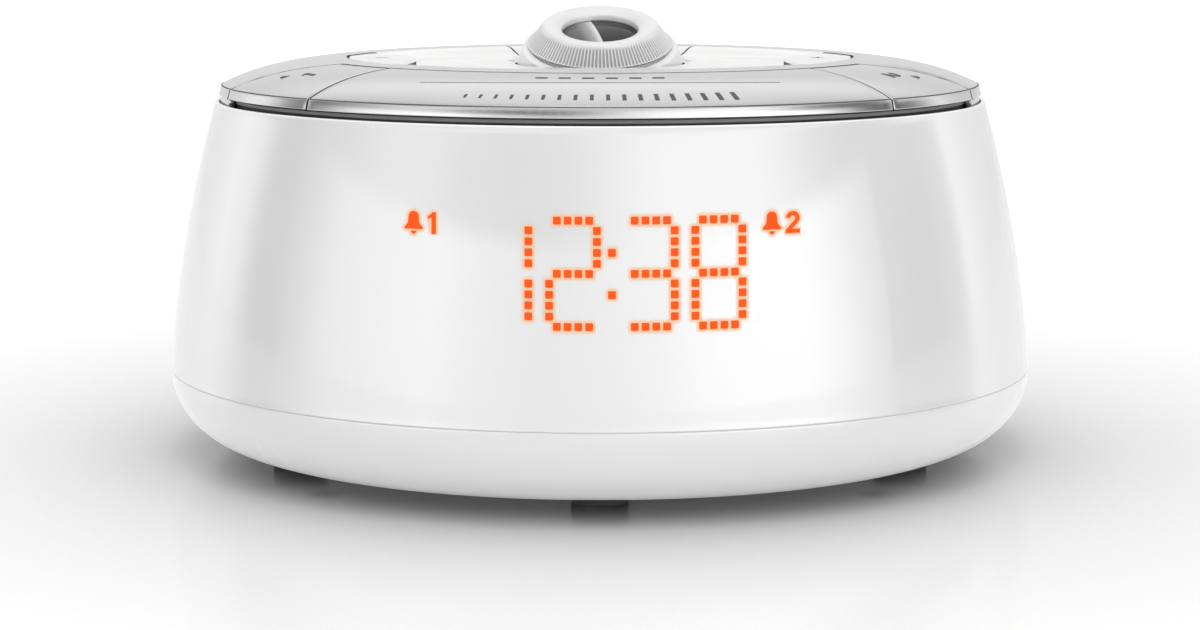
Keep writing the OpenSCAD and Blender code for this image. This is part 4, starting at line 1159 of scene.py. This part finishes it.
end_key_x = 77 * MM
end_key_y = -19 * MM
end_key_r = 40.6 * MM
end_middle = (45.0 * MM, -13.0 * MM)
end_gap = 0.5 * MM
opening_gap = 0.05 * MM
cutter_low, cutter_high = 70 * MM, 90 * MM
# A face whose normal is flatter than this is a cut edge, and gets the painted gap shade
cut_flatness = 0.3


def ray_to_circle(origin, turn, centre, radius):
    """Distance along a ray from inside a circle to the circle."""
    dx, dy = math.cos(turn), math.sin(turn)
    ox, oy = origin[0] - centre[0], origin[1] - centre[1]
    along = ox * dx + oy * dy
    return -along + math.sqrt(max(0, along ** 2 - ox ** 2 - oy ** 2 + radius ** 2))


def end_reach(turn, inset):
    """Distance from the right end key's middle to its outline, less an inset."""
    return min(
        ray_to_circle(end_middle, turn, (0, 0), panel_front_r - inset),
        ray_to_circle(end_middle, turn, (0, -panel_back_y), panel_back_r - inset),
        ray_to_circle(end_middle, turn, (end_key_x, end_key_y), end_key_r - inset))


end_turns = [math.radians(3 * k) for k in range(121)]
for side in (-1, 1):
    outline = []
    for turn in end_turns[:-1]:
        reach = end_reach(turn, opening_gap)
        x, y = end_middle[0] + reach * math.cos(turn), end_middle[1] + reach * math.sin(turn)
        outline.append((side * x, y))
    cut_away(panel, [prism(outline, cutter_low, cutter_high)], "FAST")
for face in panel.data.polygons:
    if abs(face.normal.z) < cut_flatness:
        face.material_index = 1
smooth(panel, 35)
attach(panel, "housing")
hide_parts("key_panel")
# A small printed arrowhead on each side of the collar
pointer_x, pointer_y = 18.9 * MM, 9.2 * MM
POINTER = [(-0.8 * MM, 0), (0.8 * MM, -0.75 * MM), (0.8 * MM, 0.75 * MM)]
for side, name in ((-1, "pointer_left"), (1, "pointer_right")):
    pointer = flat_mark(name, POINTER)
    for vertex in pointer.data.vertices:
        x, y = side * (pointer_x - vertex.co.x), pointer_y + vertex.co.z
        vertex.co = (x, y, panel_z(x, y) + print_lift)
    faces_up(pointer)
    coat(pointer, print_grey)
    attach(pointer, "housing")

# ---------- End keys and rear key ----------
# Two white almond-shaped keys at the panel's ends, slightly crowned and flush with the
# dome, and a sector of the dish behind the projector. All are moulded in the panel's
# plastic and stand on the switches under them.

crown = 0.25 * MM
end_rows = 9
end_row_lean = 0.7
end_sunk = 0.12 * MM
end_wall = 1.1 * MM
end_round = 0.35 * MM
end_skirt_z = 75.9 * MM
skirt_flatness = 0.15


def end_place(side):
    def place(i, j):
        turn = end_turns[i]
        reach = end_reach(turn, end_gap)
        share = min(1, j / end_rows) ** end_row_lean
        x = side * (end_middle[0] + reach * share * math.cos(turn))
        y = end_middle[1] + reach * share * math.sin(turn)
        if j > end_rows:
            return x, y, end_skirt_z
        return x, y, dome_z(math.hypot(x, y)) + crown * (1 - share ** 2) - end_sunk
    return place


for side, body_name in ((-1, "left_end_key"), (1, "right_end_key")):
    cap = faces_up(patch(body_name + "_cap", len(end_turns) - 1, end_rows + 1, end_place(side)))
    apply_modifier(cap, "BEVEL", width=end_round, segments=3, limit_method="ANGLE",
                   angle_limit=math.radians(35))
    apply_modifier(cap, "SOLIDIFY", thickness=end_wall, offset=-1)
    smooth(cap, 40)
    coat(cap, white_key, painted_gap_shade)
    # Painted shade: the cap's upright skirt faces are coloured near black
    for face in cap.data.polygons:
        if abs(face.normal.z) < skirt_flatness:
            face.material_index = 1
    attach(cap, body_name)
    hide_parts(body_name)

# Outlines of the two signs, in millimetres
MINUS = [(-1.3, -0.28), (1.3, -0.28), (1.3, 0.28), (-1.3, 0.28)]
PLUS = [(-1.3, -0.28), (-0.28, -0.28), (-0.28, -1.3), (0.28, -1.3), (0.28, -0.28), (1.3, -0.28),
        (1.3, 0.28), (0.28, 0.28), (0.28, 1.3), (-0.28, 1.3), (-0.28, 0.28), (-1.3, 0.28)]
sign_x, sign_y = 44.0 * MM, -14.5 * MM
sign_lift = 0.12 * MM
for side, points, body_name in ((-1, MINUS, "left_end_key"), (1, PLUS, "right_end_key")):
    sign = flat_mark("sign", [(x * MM, z * MM) for x, z in points])
    dome_mark(sign, body_name + "_sign", side * sign_x, sign_y, 0, 1, body_name)
    sign.data.transform(Matrix.Translation((0, 0, sign_lift)))

rear_columns = 26
rear_gap = 0.4 * MM
rear_round = 0.15 * MM
rear_clear = 0.2 * MM


def rear_place(i, j):
    angle = 180 + rear_half_angle * (2 * i / rear_columns - 1)
    radius = dish_radius(panel_edge(angle) - panel_gap - rear_gap, j)
    radius += rear_clear * max(0, j - len(rim_steps) + 1) / floor_steps
    edge = rear_half_angle - math.degrees(math.asin(rear_gap / radius))
    x, y = plan(radius, 180 + edge * (2 * i / rear_columns - 1))
    return x, y, panel_z(x, y)


rear_cap = patch("rear_key_cap", rear_columns, len(rim_steps) - 1 + floor_steps, rear_place)
coat(rear_cap, white_key, painted_gap_shade)
walled(rear_cap, panel_t, rear_round, 2)
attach(rear_cap, "rear_key")
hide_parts("rear_key")

# ---------- Projector collar ----------
# The turret of white satin plastic, which swivels on a journal in the deck. Its top is cut
# at a slant, and the focus ring sits in the slanting rim.

tilt = math.radians(18)
focus_z = 83.1 * MM
collar_t = 1.8 * MM
collar_low = 71.7 * MM
collar_round = 0.5 * MM
collar_root_r = 16.0 * MM
collar_root_z = 74.8 * MM
# The collar's outer side, in millimetres, up past the slanting cut
COLLAR = [(17.2, 76.2), (17.2, 77.8), (17.15, 78.8), (16.98, 79.8), (16.72, 80.8), (16.38, 81.8),
          (16.02, 82.8), (15.7, 83.8), (15.45, 84.8), (15.28, 85.8), (15.15, 87), (15.05, 88.5), (15.0, 91.5)]
journal_r = 14.5 * MM
journal_t = 1.9 * MM
journal_low = 67.3 * MM
collar_outline = [(journal_r, journal_low), (journal_r, collar_low), (collar_root_r, collar_low),
                  (collar_root_r, collar_root_z)]
collar_outline += [(r * MM, z * MM) for r, z in COLLAR]
collar_outline += [(r * MM - collar_t, z * MM) for r, z in reversed(COLLAR)]
collar_outline += [
    (collar_root_r - collar_t, collar_root_z), (collar_root_r - collar_t, collar_low + collar_t),
    (journal_r - journal_t, collar_low + collar_t), (journal_r - journal_t, journal_low),
    (journal_r, journal_low)]
collar = turned("projector_collar", collar_outline, steps=128)
bpy.ops.object.mode_set(mode="EDIT")
bpy.ops.mesh.select_all(action="SELECT")
bpy.ops.mesh.bisect(plane_co=(0, 0, focus_z), plane_no=(0, -math.sin(tilt), math.cos(tilt)),
                    clear_outer=True)
# The flat rim between the two cut loops, closed the same way on every run
bpy.ops.mesh.bridge_edge_loops()
bpy.ops.object.mode_set(mode="OBJECT")
faces_outward(collar)
apply_modifier(collar, "BEVEL", width=collar_round, segments=4, limit_method="ANGLE",
               angle_limit=math.radians(50))
smooth(collar, 40)
white_satin = surface(
    "white_satin", (0.80, 0.80, 0.805), roughness=0.33, tone=0.008, grain=120, spread=0.02, relief=0.04,
    coat_weight=0.5, coat_roughness=0.12)
coat(collar, white_satin)


def onto_slant(piece):
    """Leans a piece that was made upright, and sets it on the slanting cut."""
    alone(piece)
    piece.rotation_euler = (tilt, 0, 0)
    piece.location = (0, 0, focus_z)
    bpy.ops.object.transform_apply(location=True, rotation=True, scale=True)


# The neck that carries the focus ring leans inside the collar, with a flange that closes it
neck_r = 10 * MM
neck_bore_r = 8.6 * MM
neck_top = 2.2 * MM
neck_low = -13.5 * MM
neck_chamfer = 0.3 * MM
flange_top = 0.05 * MM
neck_flange_r = 14.8 * MM
neck = turned("projector_neck", [
    (neck_bore_r, neck_low), (neck_r, neck_low), (neck_r, -collar_t), (neck_flange_r, -collar_t),
    (neck_flange_r, flange_top), (neck_r, flange_top), (neck_r, neck_top - neck_chamfer),
    (neck_r - neck_chamfer, neck_top), (neck_bore_r, neck_top), (neck_bore_r, neck_low)], steps=96)
onto_slant(neck)
smooth(neck, 40)
coat(neck, white_satin)
for piece in (collar, neck):
    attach(piece, "turret")
    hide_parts("turret")

# ---------- Focus ring ----------
# A ribbed ring that turns on the slanting neck and moves the lens. It is moulded in
# pearl-white plastic, with a fine-ribbed cone, a smooth crown and a rolled lip.

ring_foot_s = 0.25 * MM
focus_r = 15 * MM
focus_top_r = 12.1 * MM
band_h = 3.6 * MM
rib_count = 116
rib_steps = 8
groove_d = 0.28 * MM
neck_clear_r = 10.1 * MM
neck_seat_s = 2.4 * MM
mouth_r = 7.9 * MM
mouth_s = 3.28 * MM
foot_round = 0.2 * MM
band_steps = 8
# The crown, from the cone's top over to the mouth, in millimetres
CROWN = [(12.02, 4.05), (11.8, 4.25), (11.4, 4.38), (10.9, 4.4), (10.0, 4.3), (9.3, 4.1), (9.0, 4.0),
         (8.2, 3.65), (8.05, 3.55), (7.96, 3.42)]
focus_outline = [(neck_clear_r, ring_foot_s), (focus_r - foot_round, ring_foot_s)]
focus_outline += round_corner(focus_r - foot_round, ring_foot_s + foot_round, foot_round, -60, 30, 3)
for i in range(1, band_steps + 1):
    share = i / band_steps
    focus_outline.append((focus_r - (focus_r - focus_top_r) * share, ring_foot_s + band_h * share))
focus_outline += [(r * MM, s * MM) for r, s in CROWN]
focus_outline += [(mouth_r, mouth_s), (mouth_r, neck_seat_s), (neck_clear_r, neck_seat_s),
                  (neck_clear_r, ring_foot_s)]
focus = turned("focus_ring_ribbed", focus_outline, steps=rib_count * rib_steps)
slope = math.atan2(band_h, focus_r - focus_top_r)
inward = Vector((-math.sin(slope), -math.cos(slope)))
plain_edge = 0.25 * MM
cone_slack = 0.05 * MM
# A groove's profile from the top of one rib to the next: full depth in its middle part and
# partly sunk beside it
full_from, part_from, part_depth = 0.7, 0.45, 0.6
groove = focus.data.attributes.new("groove", "FLOAT", "POINT")
for vertex in focus.data.vertices:
    radius = math.hypot(vertex.co.x, vertex.co.y)
    up = vertex.co.z - ring_foot_s
    off_cone = abs((focus_r - radius) * math.sin(slope) - up * math.cos(slope))
    if off_cone > cone_slack or not plain_edge < up < band_h - plain_edge:
        continue
    turn = math.atan2(vertex.co.y, vertex.co.x) / (2 * math.pi) * rib_count
    phase = abs((turn % 1) - 0.5) * 2
    share = 1 if phase > full_from else part_depth if phase > part_from else 0
    groove.data[vertex.index].value = share
    depth = groove_d * share
    sunk = radius + inward.x * depth
    vertex.co.x *= sunk / radius
    vertex.co.y *= sunk / radius
    vertex.co.z += inward.y * depth
onto_slant(focus)
smooth(focus, 30)
pearl = surface(
    "ring_pearl", (0.80, 0.80, 0.80), metallic=0.1, roughness=0.3, tone=0.01, grain=400, spread=0.02,
    relief=0.06, relief_scale=4000)
# Painted shade: the grooves between the ribs are coloured dark grey, fully where a groove is full depth and
# partly beside it
tree = pearl.node_tree
painted_groove_shade = node_of(tree, "ShaderNodeAttribute", attribute_name="groove")
shaded = node_of(tree, "ShaderNodeMixRGB", blend_type="MIX")
shader = tree.nodes["Principled BSDF"]
clean = shader.inputs["Base Color"].links[0].from_socket
tree.links.new(painted_groove_shade.outputs["Fac"], shaded.inputs[0])
tree.links.new(clean, shaded.inputs[1])
shaded.inputs[2].default_value = (0.40, 0.40, 0.405, 1)
tree.links.new(shaded.outputs[0], shader.inputs["Base Color"])
coat(focus, pearl)
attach(focus, "focus_ring")
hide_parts("focus_ring")

# ---------- Lens ----------
# A ground and polished glass lens, seated in a black barrel that slides in the neck as the
# ring is turned. A reflection is painted across the glass: light grey on one side, near black on the other.

lens_edge = 7.39 * MM
lens_low = -1.4 * MM
flange_r = 7.7 * MM
flange_low = 1.22 * MM
flange_s = 2.3 * MM
lens_chamfer = 0.1 * MM
lens_curve = 60 * MM
lens_steps = 12
face_r = flange_r - lens_chamfer
face_h = math.sqrt(lens_curve ** 2 - face_r ** 2)
lens_outline = [(0, lens_low), (lens_edge, lens_low), (lens_edge, flange_low), (flange_r, flange_low),
                (flange_r, flange_s - lens_chamfer), (face_r, flange_s)]
for i in range(1, lens_steps + 1):
    r = face_r * (1 - i / lens_steps)
    lens_outline.append((r, flange_s + math.sqrt(lens_curve ** 2 - r ** 2) - face_h))
lens = turned("projector_lens", lens_outline, steps=96)
onto_slant(lens)
smooth(lens, 35)
glass = surface(
    "lens_glass", (0.97, 0.97, 0.97), roughness=0.05, tone=0.01, spread=0.01, relief=0.0, ior=1.18)
# Painted reflection across the glass: a grey band that brightens up to a sharp edge on one side, near black
# on the other
LENS_REFLECTION = [(0.0, 0.07), (0.22, 0.13), (0.36, 0.36), (0.455, 0.8), (0.468, 0.02), (0.75, 0.008), (1.0, 0.02)]
reflection_width = 16 * MM
reflection_turn = 0.212
tree = glass.node_tree
shader = tree.nodes["Principled BSDF"]
split = node_of(tree, "ShaderNodeSeparateXYZ")
tree.links.new(node_of(tree, "ShaderNodeTexCoord").outputs["Object"], split.inputs[0])
across = maths(tree, "MULTIPLY_ADD", split.outputs["Y"], reflection_turn, split.outputs["X"])
across = maths(tree, "MULTIPLY_ADD", across, 1 / reflection_width, 0.5)
painted_reflection = node_of(tree, "ShaderNodeMixRGB", blend_type="MULTIPLY")
painted_reflection.inputs[0].default_value = 1.0
tree.links.new(graded(tree, across, LENS_REFLECTION), painted_reflection.inputs[1])
tree.links.new(shader.inputs["Base Color"].links[0].from_socket, painted_reflection.inputs[2])
tree.links.new(painted_reflection.outputs[0], shader.inputs["Base Color"])
coat(lens, glass)
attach(lens, "lens_barrel")
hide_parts("projection_lens")
black = surface("barrel_black", (0.02, 0.02, 0.021), roughness=0.4, relief=0.1)
dress(black, "lens_barrel", "lamp_tube", "image_cell", "light_mask", "battery_tray")

# ---------- Outlets and battery door ----------
# Two rubber bushings pressed into the back wall for the mains lead and the aerial, and the
# door of white ABS that slides in its track under the battery bay.

dress(rubber, "lead_gland", "aerial_gland")
dress(gloss_white, "battery_door")

# ---------- Boards and drive parts ----------
# Everything inside, screwed or clipped to the shells: glass-fibre boards, the transformer
# with its copper winding, the loudspeaker with its paper cone, the back-up cells with
# their sprung contacts, and the flat cable to the keys.

board_green = surface("board_green", (0.02, 0.14, 0.05), roughness=0.45, tone=0.2, grain=500, relief=0.2)
dress(board_green, "key_board", "main_board", "display_board", "lamp_board")
core_iron = surface("core_iron", (0.12, 0.12, 0.125), metallic=0.7, roughness=0.5, relief=0.3, grain=600)
dress(core_iron, "transformer_core", "speaker_basket", "speaker_magnet")
copper = surface(
    "winding_copper", (0.55, 0.24, 0.09), metallic=0.8, roughness=0.4, relief=0.5, relief_scale=900)
dress(copper, "transformer_winding")
paper = surface("cone_paper", (0.035, 0.034, 0.033), roughness=0.85, relief=0.6, relief_scale=700)
dress(paper, "speaker_cone")
tin = surface("tinned_sheet", (0.62, 0.62, 0.60), metallic=1.0, roughness=0.35, relief=0.15, grain=500)
dress(tin, "tuner_shield", "battery_contacts", "turret_clip")
wrap = surface("cell_wrap", (0.62, 0.18, 0.03), roughness=0.35, relief=0.05)
dress(wrap, "battery_cell_front", "battery_cell_rear")
ribbon = surface("ribbon_grey", (0.45, 0.45, 0.44), roughness=0.5, relief=0.2)
dress(ribbon, "key_cable")
clear_plastic = surface(
    "clear_plastic", (0.75, 0.78, 0.8), roughness=0.08, relief=0.0, transmission_weight=0.9)
dress(clear_plastic, "condenser_lens")
dress(light, "display_leds", "lamp_led")
